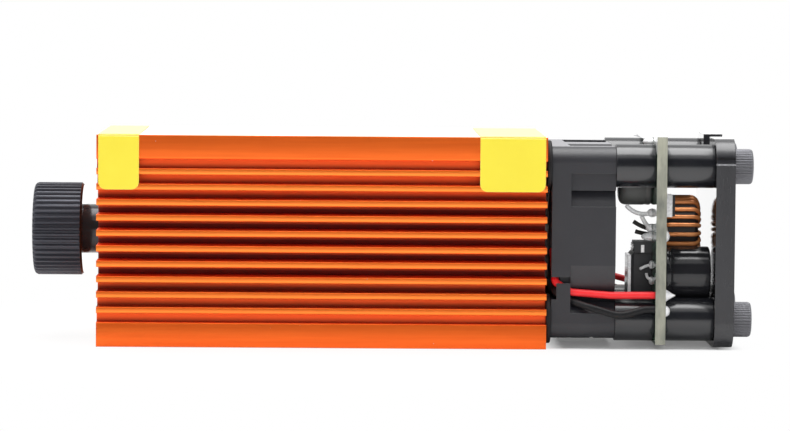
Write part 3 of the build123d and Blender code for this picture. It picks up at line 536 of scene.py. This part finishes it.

# Focus lens and spring: a polished glass lens, and a wire spring that takes the play out of the thread.
# The spring is a ring of wire screwed along its axis.
# Its rear end sits in the housing and its front end against the barrel.
glass = bpy.data.materials.new("lens_glass")
glass.use_nodes = True
glass_skin = glass.node_tree.nodes["Principled BSDF"]
glass_skin.inputs["Base Color"].default_value = tone(235, 245, 250)
glass_skin.inputs["Roughness"].default_value = 0.03
glass_skin.inputs["Transmission Weight"].default_value = 1.0
glass_skin.inputs["IOR"].default_value = 1.52
dress(glass, "focus_lens")
spring_wire = new_finish("spring_wire", tone(180, 180, 184), tone(160, 160, 166), (0.22, 0.34), metallic=1.0)
spring_low, spring_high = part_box("focus_spring")
spring_thick, spring_turns = 0.5 * MM, 2.5
spring_reach = (spring_high.z - spring_low.z - spring_thick) / 2
select_none()
bpy.ops.mesh.primitive_circle_add(vertices=16, radius=spring_thick / 2,
                                  location=(spring_low.x + spring_thick / 2, spring_reach, 0))
spring = bpy.context.object
spring.name = "focus_spring_coil"
fix_place()
use_modifier(spring, "SCREW", axis="X", angle=spring_turns * 2 * math.pi, steps=120, render_steps=120,
             screw_offset=spring_high.x - spring_low.x - spring_thick)
bpy.ops.object.mode_set(mode="EDIT")
close_ends()
bpy.ops.transform.translate(value=(0, 0, axis_z))
fix_place()
smooth(spring, 60)
spring.data.materials.append(spring_wire)
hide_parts("focus_spring")
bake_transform(spring)

# Focus knob: black anodised, with a straight knurl cut round it and an open aperture in its face.
# Every second pair of columns round it is drawn inwards, which leaves flat-topped ridges between grooves.
# The knurl stops at a plain chamfer, and the rear face behind that is polished.
flutes = 48
knob_low, knob_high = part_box("focus_knob")
face, back = knob_low.x / MM, knob_high.x / MM
grip, flare, aperture = 7.35, 4.2, 3.0  # radii
knob = turn("focus_knob_grip", [
    (face, flare), (face, grip - 0.6), (face + 0.12, grip - 0.3), (face + 0.3, grip - 0.12),
    (face + 0.6, grip), (back - 0.36, grip), (back - 0.3, grip - 0.05), (back, grip - 0.35), (back, neck),
    (tube_front, neck), (tube_front, aperture), (face + 1.2, aperture), (face, flare)],
    (0, 0, axis_z), sides=flutes * 4)


def knurl(piece, every, low, high, centre, inner, share):
    """Draws alternate pairs of columns round a piece, outside a radius, in to a share of their reach."""
    start_picking("VERT")
    y, z = centre
    for point in piece.data.vertices:
        around = math.atan2(point.co.z - z, point.co.y - y) / (2 * math.pi) * every * 4
        reach = math.hypot(point.co.z - z, point.co.y - y) / MM
        point.select = low < point.co.x / MM < high and reach > inner and round(around) % 4 in (0, 1)
    bpy.ops.object.mode_set(mode="EDIT")
    bpy.ops.transform.resize(value=(1, share, share), center_override=(0, *centre))
    bpy.ops.object.mode_set(mode="OBJECT")


chamfer_start = back - 0.33
knurl(knob, flutes, face + 0.1, chamfer_start, (0, axis_z), 6.9, 0.947)
smooth(knob, 25)
# The ridges' paler edges are partly wear and partly a painted highlight.
knurled = new_finish("knurled_black", tone(68, 70, 78), tone(54, 55, 62), (0.32, 0.46), metallic=0.5,
                     stretch=(0.3, 1, 1), fine=3500.0, bump=0.12, radius=0.06, edge=tone(96, 98, 104))
# Painted shade: the rear chamfer is painted near black, and the polished rear face then gets back the knob's
# own colour.
at_rear = maths(knurled, "GREATER_THAN", object_place(knurled)[0], chamfer_start * MM)
paint_over(knurled, at_rear, tone(14, 14, 16))
face_finish(knurled, "X", tone(68, 70, 78), 0.03, where=at_rear)
settle(knob, knurled, ["focus_knob"], body="focus_knob")

# Washers: four black fibre rings that keep the fan off the heat sink's rear face.
# One is turned with eased edges at the first corner screw, and the others are its copies.
washer_low, washer_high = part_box("fan_washers")


def copies(piece, shifts):
    """Copies of a piece, each with its own mesh, moved by their shifts."""
    made = []
    for number, shift in enumerate(shifts):
        take(piece)
        bpy.ops.object.duplicate(linked=False)
        twin = bpy.context.object
        twin.name = f"{piece.name}_{number + 2}"
        bpy.ops.transform.translate(value=shift)
        fix_place()
        made.append(twin)
    return made


def at_corners(piece):
    """A piece made at the first corner screw, and its copies at the other three."""
    first = Vector((0, *corners[0]))
    return [piece] + copies(piece, [Vector((0, *c)) - first for c in corners[1:]])


def sleeve(name, start, end, outer, inner):
    """A plain tube at the first corner screw: its ends along X in metres, its radii in millimetres."""
    x0, x1 = start / MM, end / MM
    return turn(name, [(x0, inner), (x0, outer), (x1, outer), (x1, inner), (x0, inner)], (0, *corners[0]),
                sides=72)


screw_way = 1.6
black_fibre = new_finish("black_fibre", tone(28, 28, 30), tone(22, 22, 24), (0.55, 0.7), specular=0.3)
washer = sleeve("fan_washer", washer_low.x, washer_high.x, 3.9, screw_way)
ease_edges(washer, 0.25 * MM, steps=3)
smooth(washer)
for piece in at_corners(washer):
    settle(piece, black_fibre, ["fan_washers"])

# Fan: a 30 mm axial fan with one flange, moulded in black plastic, with a hook in the flange for its leads.
# Inside are a ferrite ring on the rotor, a ground shaft in a sintered bearing, and a stamped, wound stator.
fan_plastic = new_finish("fan_plastic", tone(33, 33, 38), tone(28, 28, 33), (0.42, 0.54), coarse=200.0,
                         fine=4200.0, bump=0.16, radius=0.16, dust=0.02, dust_scale=450.0, specular=0.7)
# Painted reflection: the frame's top goes pale grey where it is seen flat.
fan_top = maths(fan_plastic, "GREATER_THAN", object_place(fan_plastic)[2], 29 * MM)
glare(fan_plastic, "Z", tone(140, 140, 144), fan_top)
dress(fan_plastic, "fan_frame", "fan_rotor")
ferrite_ring = new_finish("ferrite_ring", tone(72, 70, 68), tone(60, 58, 57), (0.5, 0.65))
dress(ferrite_ring, "fan_magnet")
ground_steel = new_finish("ground_steel", tone(196, 196, 198), tone(178, 178, 182), (0.15, 0.25),
                          metallic=1.0)
dress(ground_steel, "fan_shaft")
bronze = new_finish("sintered_bronze", tone(176, 134, 84), tone(154, 112, 66), (0.4, 0.55), metallic=1.0)
dress(bronze, "fan_bearing")
lamination = new_finish("stamped_steel", tone(150, 150, 154), tone(128, 128, 134), (0.3, 0.45), metallic=1.0,
                        stretch=(8, 1, 1))
dress(lamination, "fan_stator")
enamel = new_finish("enamelled_copper", tone(246, 166, 106), tone(224, 138, 80), (0.18, 0.26), metallic=0.4,
                    coarse=300.0, fine=2600.0, bump=0.06, radius=0.08)
dress(enamel, "fan_coils")

# Spacers: eight black nylon sleeves, four between fan and board and four between board and end plate.
# They are glossy and plain, cut from tube with barely eased ends, and the long screws go through them.
spacer_plastic = new_finish("black_nylon", tone(26, 27, 31), tone(21, 22, 26), (0.21, 0.25), coarse=220.0,
                            fine=1200.0, bump=0.01, radius=0.1, dust=0.03, dust_scale=500.0, specular=0.8)
for name, node in (("front_spacer", "front_spacers"), ("rear_spacer", "rear_spacers")):
    node_low, node_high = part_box(node)
    spacer = sleeve(name, node_low.x, node_high.x, 3.4, screw_way)
    ease_edges(spacer, 0.12 * MM)
    smooth(spacer)
    for piece in at_corners(spacer):
        settle(piece, spacer_plastic, [node])

# Driver board: 1.6 mm glass-fibre laminate with a glossy green lacquer on both faces and bare, sawn edges.
# It is clamped between the two rows of spacers. Its upper edge carries a painted reflection, pale where it is
# seen flat.
laminate = new_finish("board_laminate", tone(158, 158, 142), tone(94, 97, 89), (0.4, 0.55), stretch=(3, 1, 1),
                      coarse=170.0, fine=1600.0, bump=0.2, radius=0.05, specular=0.9)
face_finish(laminate, "X", tone(44, 78, 56), 0.08)
high_up = maths(laminate, "GREATER_THAN", object_place(laminate)[2], 30.5 * MM)
glare(laminate, "X", tone(250, 252, 250), high_up)
glare(laminate, "Z", tone(250, 252, 250), high_up)
dress(laminate, "driver_board", "fan_circuit")

# End plate: 3 mm black sheet with polished faces, rounded corners and a notch in its top edge for the plug.
# Its sawn near edge has a ragged dark line and a bright scratch. The screws' heads clamp it on the spacers.
polished = new_finish("polished_sheet", tone(32, 32, 36), tone(27, 27, 31), (0.26, 0.36), stretch=(8, 8, 0.6),
                      coarse=60.0, fine=900.0, bump=0.04, radius=0.2, dust=0.015, dust_scale=350.0,
                      specular=0.8)
face_finish(polished, "X", tone(26, 26, 28), 0.03)
plate_y, plate_z = object_place(polished)[1:]
ragged = polished.node_tree.nodes.new("ShaderNodeTexNoise")
ragged.inputs["Scale"].default_value = 900.0
unevenness = 0.9 * MM
level = maths(polished, "MULTIPLY_ADD", ragged.outputs["Fac"], unevenness,
              maths(polished, "SUBTRACT", plate_z, unevenness / 2))
near_edge = maths(polished, "LESS_THAN", plate_y, -14 * MM)
for height, half_width, colour in (
        (29.9 * MM, 0.22 * MM, tone(12, 12, 14)), (28.95 * MM, 0.06 * MM, tone(176, 176, 180))):
    mark = maths(polished, "COMPARE", level, height, half_width)
    paint_over(polished, maths(polished, "MULTIPLY", near_edge, mark), colour)
# Painted reflection: the plate's top goes white where it is seen flat.
glare(polished, "Z", tone(250, 250, 250), maths(polished, "GREATER_THAN", plate_z, 30.5 * MM))
dress(polished, "end_plate")

# Long screws: four M3 socket-head screws, black oxide, with knurled heads and hexagon sockets.
# One is turned, knurled and drilled with a six-sided bit, and the others are its copies.
screw_low, screw_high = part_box("long_screws")
plate_low, plate_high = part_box("end_plate")
head_start, head_end = plate_high.x / MM, screw_high.x / MM
shank, head, socket = 1.5, 2.75, 1.443  # radii, the socket's to its corners
screw_tip = screw_low.x / MM
screw = turn("long_screw", [
    (screw_tip, shank - 0.3), (screw_tip + 0.4, shank), (head_start, shank), (head_start, head - 0.07),
    (head_start + 0.1, head), (head_end - 0.45, head), (head_end - 0.2, head - 0.09),
    (head_end - 0.05, head - 0.25), (head_end, head - 0.45)], (0, *corners[0]), sides=160)
knurl(screw, 40, head_start + 0.05, head_end - 0.25, corners[0], 2.6, 0.962)
drill(screw, (head_end * MM, *corners[0]), 3.2 * MM, socket * MM, sides=6)
smooth(screw, 25)
for piece in at_corners(screw):
    settle(piece, black_oxide, ["long_screws"])

# Leads: soft insulated wires, red and black, from the fan and from the diode to the board.
# They have a dull, rubbery surface, and their ends go into the board's holes.
red_rubber = new_finish("red_insulation", tone(240, 46, 50), tone(226, 36, 42), (0.36, 0.46), coarse=300.0,
                        fine=1800.0, bump=0.05, radius=0.2)
dress(red_rubber, "fan_lead_red", "laser_lead_red")
black_rubber = new_finish("black_insulation", tone(22, 22, 24), tone(16, 16, 18), (0.42, 0.52), coarse=300.0,
                          fine=1800.0, bump=0.05, radius=0.2, specular=0.3)
dress(black_rubber, "fan_lead_black", "laser_lead_black")

# Solder joints: bright mounds on the board's rear face where the leads and the inductor's wire come through.
# A pointed one has a wire in it, a domed one has it clipped flush. Each is turned along its profile.
solder = new_finish("solder", tone(250, 250, 250), tone(226, 226, 228), (0.2, 0.34), metallic=0.12,
                    coarse=900.0, fine=2600.0, bump=0.2, radius=0.12)
board_low, board_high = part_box("driver_board")
# Profiles as shares of the height and of the width.
POINTED = ((0, 0.5), (0.06, 0.47), (0.2, 0.4), (0.4, 0.3), (0.62, 0.19), (0.82, 0.11), (0.95, 0.06),
           (1, 0.03))
DOMED = ((0, 0.5), (0.25, 0.49), (0.5, 0.44), (0.72, 0.35), (0.88, 0.23), (0.97, 0.11), (1, 0.03))


def mound(name, y, z, width, height, shape):
    """A solder joint on the board's rear face, in millimetres."""
    start = board_high.x / MM
    piece = turn(name, [(start + height * along, width * part) for along, part in shape],
                 (0, y * MM, z * MM), sides=32)
    smooth(piece, 60)
    settle(piece, solder, ["solder_joints"])


for name, y, z, width, height, shape in (
        ("red_fan_joint", -14.6, 8.4, 2.1, 1.6, POINTED),
        ("black_fan_joint", -15.3, 6.0, 1.7, 0.75, DOMED),
        ("red_laser_joint", 15.0, 8.4, 1.6, 1.3, POINTED),
        ("black_laser_joint", 15.4, 6.6, 1.2, 1.2, POINTED),
        ("coil_joint", -13.4, 17.6, 1.9, 0.75, DOMED)):
    mound(name, y, z, width, height, shape)

# Inductor: a coated powder ring with its bore square to the board, wound by hand with enamelled copper wire.
# One turn is a rectangle with rounded corners made into round wire.
# The rest are its copies, unevenly spaced round the ring.
core_coat = new_finish("core_coat", tone(40, 36, 34), tone(30, 27, 26), (0.4, 0.55), radius=0.2)
dress(core_coat, "inductor_core")
coil_low, coil_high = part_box("inductor_winding")
coil_middle = (coil_low + coil_high) / 2
turns, wire = 22, 0.68 * MM
coil_reach = (coil_high.z - coil_low.z - wire) / 2
inner_reach = 2.46 * MM - wire / 2


def into_wire(piece, thick):
    """Makes a chain of edges, or a curve, into round wire."""
    take(piece)
    bpy.ops.object.convert(target="CURVE")
    piece.data.bevel_depth = thick / 2
    piece.data.bevel_resolution = 2
    bpy.ops.object.convert(target="MESH")
    smooth(piece, 60)


select_none()
bpy.ops.mesh.primitive_plane_add(size=1, rotation=(math.pi / 2, 0, 0),
                                 location=coil_middle + Vector((0, 0, (coil_reach + inner_reach) / 2)))
loop = bpy.context.object
loop.name = "inductor_coil"
loop.scale = (coil_high.x - coil_low.x - wire, coil_reach - inner_reach, 1)
fix_place()
bpy.ops.object.mode_set(mode="EDIT")
bpy.ops.mesh.select_all(action="SELECT")
bpy.ops.mesh.bevel(offset=1.2 * MM, segments=7, affect="VERTICES")
bpy.ops.mesh.select_all(action="SELECT")
bpy.ops.mesh.delete(type="ONLY_FACE")
bpy.ops.object.mode_set(mode="OBJECT")
into_wire(loop, wire)
spread = random.Random(7)
loops = [loop] + copies(loop, [(0, 0, 0)] * (turns - 1))
for number, piece in enumerate(loops):
    take(piece)
    angle = 2 * math.pi * number / turns + spread.uniform(-0.035, 0.035)
    bpy.ops.transform.rotate(value=angle, orient_axis="X", center_override=coil_middle)
    fix_place()
join_up(loops, loop)
settle(loop, enamel, ["inductor_winding"])

# Capacitors: two aluminium cans in a shrunk sleeve, one black and glossy and one grey and matt.
# Each is turned with a crimp by its foot at the board, and its bare lid stands in the sleeve's open end.
shrink_sleeve = new_finish("shrink_sleeve", tone(34, 34, 37), tone(28, 28, 31), (0.1, 0.17), coarse=160.0,
                           fine=1600.0, bump=0.03, radius=0.2)
matt_sleeve = new_finish("matt_sleeve", tone(100, 101, 99), tone(90, 91, 90), (0.42, 0.5), coarse=160.0,
                         fine=1600.0, bump=0.03, radius=0.2)
bare_can = new_finish("bare_can", tone(226, 226, 228), tone(206, 206, 210), (0.2, 0.3), metallic=1.0,
                      fine=2000.0)
for name, node, side, crimp, sunk, ease in (("output_can", "output_capacitor", 1, 1.1, 0.16, 0.4),
                                            ("input_can", "input_capacitor", -1, 1.0, 0.06, 1.1)):
    can_low, can_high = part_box(node)
    can_middle = (can_low + can_high) / 2
    reach = (can_high.z - can_low.z) / 2 / MM
    foot = (can_low.x if side > 0 else can_high.x) / MM
    tip = (can_high.x if side > 0 else can_low.x) / MM
    centre = (0, can_middle.y, can_middle.z)
    can = turn(name, [
        (foot, reach - 1.0), (foot, reach - 0.35), (foot + side * 0.1, reach - 0.12),
        (foot + side * 0.3, reach),
        (foot + side * (crimp - 0.35), reach), (foot + side * (crimp - 0.15), reach - sunk * 0.6),
        (foot + side * crimp, reach - sunk), (foot + side * (crimp + 0.15), reach - sunk * 0.6),
        (foot + side * (crimp + 0.35), reach), (tip - side * ease, reach),
        (tip - side * ease * 0.6, reach - ease * 0.1),
        (tip - side * ease * 0.3, reach - ease * 0.32), (tip - side * 0.1, reach - ease * 0.7),
        (tip - side * 0.1, reach - ease - 0.3)], centre, sides=96)
    smooth(can, 40)
    settle(can, shrink_sleeve if side > 0 else matt_sleeve, [node])
    lid = turn(f"{name}_lid", [
        (tip - side * 0.3, reach - ease - 0.1), (tip - side * 0.12, reach - ease * 0.72 + 0.03),
        (tip - side * 0.03, reach - ease * 0.85), (tip, reach - ease - 0.2)], centre, sides=96)
    smooth(lid, 40)
    settle(lid, bare_can, [node])

# Ends of the inductor's and the output capacitor's leads: they come through the board to its front face.
# There they are soldered, tinned or left in their dark coat, bent over and clipped.
front = board_low.x / MM


def bent_wire(name, points, thick, finish, nodes=()):
    """Round wire along a curve drawn by five points: out from the board's front, y and z, in millimetres."""
    select_none()
    bpy.ops.curve.primitive_nurbs_path_add()
    piece = bpy.context.object
    piece.name = name
    for point, (out, y, z) in zip(piece.data.splines[0].points, points):
        point.co = (*(Vector((front - out, y, z)) * MM), 1)
    piece.data.resolution_u = 8
    into_wire(piece, thick * MM)
    settle(piece, finish, nodes)


def lump(name, y, z, tall, wide, high, seed, nodes=()):
    """An uneven drop of solder on the board's front face, in millimetres."""
    select_none()
    bpy.ops.mesh.primitive_ico_sphere_add(subdivisions=4, radius=1, location=(board_low.x, y * MM, z * MM))
    piece = bpy.context.object
    piece.name = name
    piece.scale = (tall * MM, wide * MM, high * MM)
    fix_place()
    bpy.ops.object.mode_set(mode="EDIT")
    bpy.ops.mesh.select_all(action="SELECT")
    bpy.ops.transform.vertex_random(offset=0.05 * MM, seed=seed)
    bpy.ops.mesh.vertices_smooth(factor=0.5, repeat=2)
    bpy.ops.mesh.select_all(action="SELECT")
    bpy.ops.mesh.bisect(plane_co=board_low, plane_no=(1, 0, 0), clear_outer=True, use_fill=True)
    bpy.ops.object.mode_set(mode="OBJECT")
    smooth(piece, 60)
    settle(piece, solder, nodes)


for number, (y, z, tall, wide, high) in enumerate((
        (-8.6, 12.75, 0.5, 0.7, 0.7), (-8.6, 10.25, 0.5, 0.7, 0.7), (-8.0, 20.9, 0.8, 0.8, 0.7),
        (-8.0, 18.5, 1.0, 0.8, 0.7), (-8.6, 17.2, 1.8, 0.9, 0.7))):
    lump(f"front_joint_{number + 1}", y, z, tall, wide, high, number + 20, ["solder_joints"])
pin, coil_wire = 0.5, wire / MM
bent_wire("capacitor_tail_1", [
    (-1.5, -8.6, 12.75), (0.3, -8.6, 12.75), (0.8, -8.7, 12.7), (1.3, -8.9, 12.4), (1.9, -9.1, 12.1)],
    pin, solder, ["capacitor_leads"])
bent_wire("capacitor_tail_2", [
    (-1.5, -8.6, 10.25), (0.3, -8.6, 10.25), (0.6, -8.7, 10.4), (0.8, -8.8, 10.9), (0.9, -8.9, 11.4)],
    pin, solder, ["capacitor_leads"])
bent_wire("coil_tail_1", [
    (0, -8, 20.9), (0.8, -8, 20.7), (1.8, -8.1, 20.5), (3.1, -8.2, 20.9), (4.1, -8.3, 22.1)],
    coil_wire, solder)
bent_wire("coil_tail_2", [
    (0, -8, 18.5), (0.5, -8, 18.6), (1.0, -8.2, 19.0), (1.3, -8.6, 19.6), (1.7, -8.9, 20.4)],
    coil_wire, solder)
bent_wire("coil_tail_3", [
    (0, -7.4, 18.3), (0.8, -7.4, 18.4), (1.6, -7.5, 18.7), (2.3, -7.6, 19.1), (2.9, -7.6, 19.5)],
    coil_wire, core_coat)
bent_wire("coil_tail_4", [
    (0, -7.4, 17.5), (0.8, -7.4, 17.5), (1.5, -7.5, 17.65), (2.1, -7.6, 17.8), (2.6, -7.6, 17.95)],
    coil_wire, core_coat)

# Wire ends at the board's top edge: a double lump of solder with a few stray strands, and a lump below.
# The strands are thin tinned wire, each bent its own way.
tin = new_finish("bright_tin", tone(238, 238, 239), tone(214, 214, 217), (0.16, 0.3), metallic=0.35,
                 coarse=700.0, fine=2400.0, bump=0.15, radius=0.12)
for number, (y, z, wide, high) in enumerate((
        (-7.0, 32.1, 1.9, 0.8), (-4.6, 32.0, 1.6, 0.72), (-9.0, 1.6, 1.4, 0.8))):
    lump(f"solder_lump_{number + 1}", y, z, wide * 0.8, wide, high, number + 3)
strands = random.Random(11)
for number in range(4):
    y = -7.4 + 1.1 * number
    tip = strands.uniform(2.2, 3.2)
    bent_wire(f"stray_strand_{number + 1}", [
        (0.3, y, 32.2), (0.8, y - 0.1, 32.5), (1.4, y + strands.uniform(-0.4, 0.4), 32.6),
        (1.9, y + strands.uniform(-0.6, 0.6), 32.8), (tip, y + strands.uniform(-0.8, 0.8), 33.05)],
        0.12, tin)

# Transistor, trimmer, chips and header: black epoxy, nylon or fired ceramic, with tinned metal legs and tab.
# The sense resistor is a ceramic block between two soldered ends, under a dark coat.
# The trimmer has one bright contact on its near side.
epoxy = new_finish("black_epoxy", tone(54, 54, 56), tone(45, 45, 47), (0.42, 0.56), fine=3800.0, bump=0.15)
dress(epoxy, "transistor_body", "trimmer", "driver_chip")
dress(tin, "transistor_tab", "transistor_legs", "trimmer_screw", "header_pins")
ceramic = new_finish("chip_ceramic", tone(150, 140, 130), tone(128, 118, 108), (0.35, 0.5), radius=0.08)
dress(ceramic, "chip_resistors")
chip_low, chip_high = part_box("sense_resistor")
inset = Vector((0.0, 0.35, 0.08)) * MM
chip_body = new_block("sense_resistor_body", chip_low + inset, chip_high - inset - Vector((0.12 * MM, 0, 0)))
ease_edges(chip_body, 0.06 * MM)
settle(chip_body, ceramic, ["sense_resistor"])
for name, y in (("sense_resistor_near_end", chip_low.y), ("sense_resistor_far_end", chip_high.y - 0.5 * MM)):
    chip_end = new_block(name, (chip_low.x, y, chip_low.z), (chip_high.x, y + 0.5 * MM, chip_high.z))
    ease_edges(chip_end, 0.18 * MM, steps=3)
    smooth(chip_end)
    settle(chip_end, solder, ["sense_resistor"])
contact = new_block("trimmer_contact", (50.2 * MM, -9.15 * MM, 14.7 * MM),
                    (50.75 * MM, -8.98 * MM, 15.9 * MM))
ease_edges(contact, 0.05 * MM)
settle(contact, solder)
coat_inset = Vector((0, 0.1, 0.15)) * MM
chip_top = Vector((chip_high.x, chip_low.y, chip_low.z))
chip_coat = new_block("sense_resistor_coat", chip_top + coat_inset - Vector((0.02 * MM, 0, 0)),
                      chip_high - coat_inset + Vector((0.4 * MM, 0, 0)))
ease_edges(chip_coat, 0.1 * MM)
settle(chip_coat, epoxy, ["sense_resistor"])
nylon = new_finish("header_nylon", tone(24, 24, 26), tone(19, 19, 21), (0.4, 0.5), radius=0.12, specular=0.0)
dress(nylon, "power_header")

# Studio: a white table under a white sky, a soft light overhead, fills from the left and from the front.
# The table is lifted to white where it is looked at or mirrored, apart from the shade under the object's end.
# A dark card in front, out of the camera's sight, gives the glossy black pieces something dark to mirror.
select_none()
bpy.ops.mesh.primitive_plane_add(size=6, location=(0, 0, -0.00002))
table = bpy.context.object
table.name = "table"
table_top = bpy.data.materials.new("white_table")
table_top.use_nodes = True
top_nodes, top_links = table_top.node_tree.nodes, table_top.node_tree.links
top_skin = top_nodes["Principled BSDF"]
top_skin.inputs["Base Color"].default_value = tone(244, 244, 244)
top_skin.inputs["Roughness"].default_value = 0.4
lift = top_nodes.new("ShaderNodeEmission")
seen = top_nodes.new("ShaderNodeLightPath")
table_x, table_y = object_place(table_top)[:2]
away = maths(table_top, "SQRT", maths(table_top, "ADD", maths(table_top, "POWER", table_x, 2.0),
                                      maths(table_top, "POWER", table_y, 2.0)))
far = ramp(table_top, away, -0.42, 0.08)
beside = ramp(table_top, maths(table_top, "ABSOLUTE", table_y), 16.5 * MM, 14.5 * MM)
behind_sink = ramp(table_top, table_x, 34 * MM, 38 * MM)
before_end = ramp(table_top, table_x, 66 * MM, 62 * MM)
under = maths(table_top, "MULTIPLY", beside, maths(table_top, "MULTIPLY", behind_sink, before_end))
lifted = maths(table_top, "MULTIPLY", far, maths(table_top, "MULTIPLY_ADD", under, -0.85, 1.0))
backdrop = maths(table_top, "GREATER_THAN", table_y, 0.1)
mirrored = maths(table_top, "MULTIPLY", seen.outputs["Is Glossy Ray"], backdrop)
looked_at = maths(table_top, "MAXIMUM", seen.outputs["Is Camera Ray"], mirrored)
share = maths(table_top, "MULTIPLY", looked_at, lifted)
top_links.new(maths(table_top, "MULTIPLY_ADD", mirrored, 0.6, 1.0), lift.inputs["Strength"])
both = top_nodes.new("ShaderNodeMixShader")
top_links.new(share, both.inputs["Fac"])
top_links.new(top_skin.outputs["BSDF"], both.inputs[1])
top_links.new(lift.outputs["Emission"], both.inputs[2])
top_links.new(both.outputs["Shader"], top_nodes["Material Output"].inputs["Surface"])
table.data.materials.append(table_top)

select_none()
bpy.ops.mesh.primitive_plane_add(size=1, location=(0, -1.1, 0.55), rotation=(math.pi / 2, 0, 0))
card = bpy.context.object
card.name = "dark_card"
card.scale = (3.2, 1.1, 1)
card.visible_camera = False
card_face = bpy.data.materials.new("dark_card")
card_face.use_nodes = True
card_skin = card_face.node_tree.nodes["Principled BSDF"]
card_skin.inputs["Base Color"].default_value = tone(40, 40, 42)
card_skin.inputs["Roughness"].default_value = 0.9
card.data.materials.append(card_face)
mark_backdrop(table, card)

world = bpy.data.worlds.new("studio")
bpy.context.scene.world = world
world.use_nodes = True
sky, sky_links = world.node_tree.nodes, world.node_tree.links
dim = sky["Background"]
dim.inputs["Color"].default_value = (1, 1, 1, 1)
dim.inputs["Strength"].default_value = 0.38
white = sky.new("ShaderNodeBackground")
white.inputs["Color"].default_value = (1, 1, 1, 1)
white.inputs["Strength"].default_value = 1.0
ray = sky.new("ShaderNodeLightPath")
direct = maths(world, "MAXIMUM", ray.outputs["Is Camera Ray"], ray.outputs["Is Glossy Ray"])
direct = maths(world, "MAXIMUM", direct, ray.outputs["Is Transmission Ray"])
mixed = sky.new("ShaderNodeMixShader")
sky_links.new(direct, mixed.inputs["Fac"])
sky_links.new(dim.outputs["Background"], mixed.inputs[1])
sky_links.new(white.outputs["Background"], mixed.inputs[2])
sky_links.new(mixed.outputs["Shader"], sky["World Output"].inputs["Surface"])


def soft_light(name, place, aim, size, power):
    """A square lamp that looks at a point."""
    select_none()
    bpy.ops.object.light_add(type="AREA", location=place)
    lamp = bpy.context.object
    lamp.name = name
    lamp.data.shape = "SQUARE"
    lamp.data.size = size
    lamp.data.energy = power
    lamp.rotation_euler = (Vector(aim) - Vector(place)).to_track_quat("-Z", "Y").to_euler()
    lamp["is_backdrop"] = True
    return lamp


soft_light("overhead", (0.0, 0.0, 0.9), (0, 0, 0.01), 0.8, 11.0)
soft_light("left_fill", (-0.7, -0.5, 0.5), (0, 0, 0.01), 0.5, 1.2)
soft_light("front_fill", (0.08, -0.95, 0.3), (0.02, 0, 0.02), 0.4, 4.0).visible_glossy = False

# Camera: at the photograph's place, a long lens just above the module and nearly square to its near side.
# It looks a little to the right and down, and is held a little askew.
eye = Vector((0.00182, -0.59624, 0.05779))
yaw, pitch, roll = 0.0164, 0.0638, 0.0079
flat_right = Vector((math.cos(yaw), -math.sin(yaw), 0))
forward = Vector((math.sin(yaw) * math.cos(pitch), math.cos(yaw) * math.cos(pitch), -math.sin(pitch)))
level_up = flat_right.cross(forward)
right = math.cos(roll) * flat_right + math.sin(roll) * level_up
up = math.cos(roll) * level_up - math.sin(roll) * flat_right
select_none()
bpy.ops.object.camera_add()
camera = bpy.context.object
camera.name = "camera"
camera.data.sensor_width = 36.0
camera.data.lens = 170.6
camera.data.clip_start = 0.01
camera.matrix_world = Matrix((
    (right.x, up.x, -forward.x, eye.x), (right.y, up.y, -forward.y, eye.y),
    (right.z, up.z, -forward.z, eye.z), (0, 0, 0, 1)))
bpy.context.scene.camera = camera
bpy.context.scene.view_settings.view_transform = "Standard"

low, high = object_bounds()
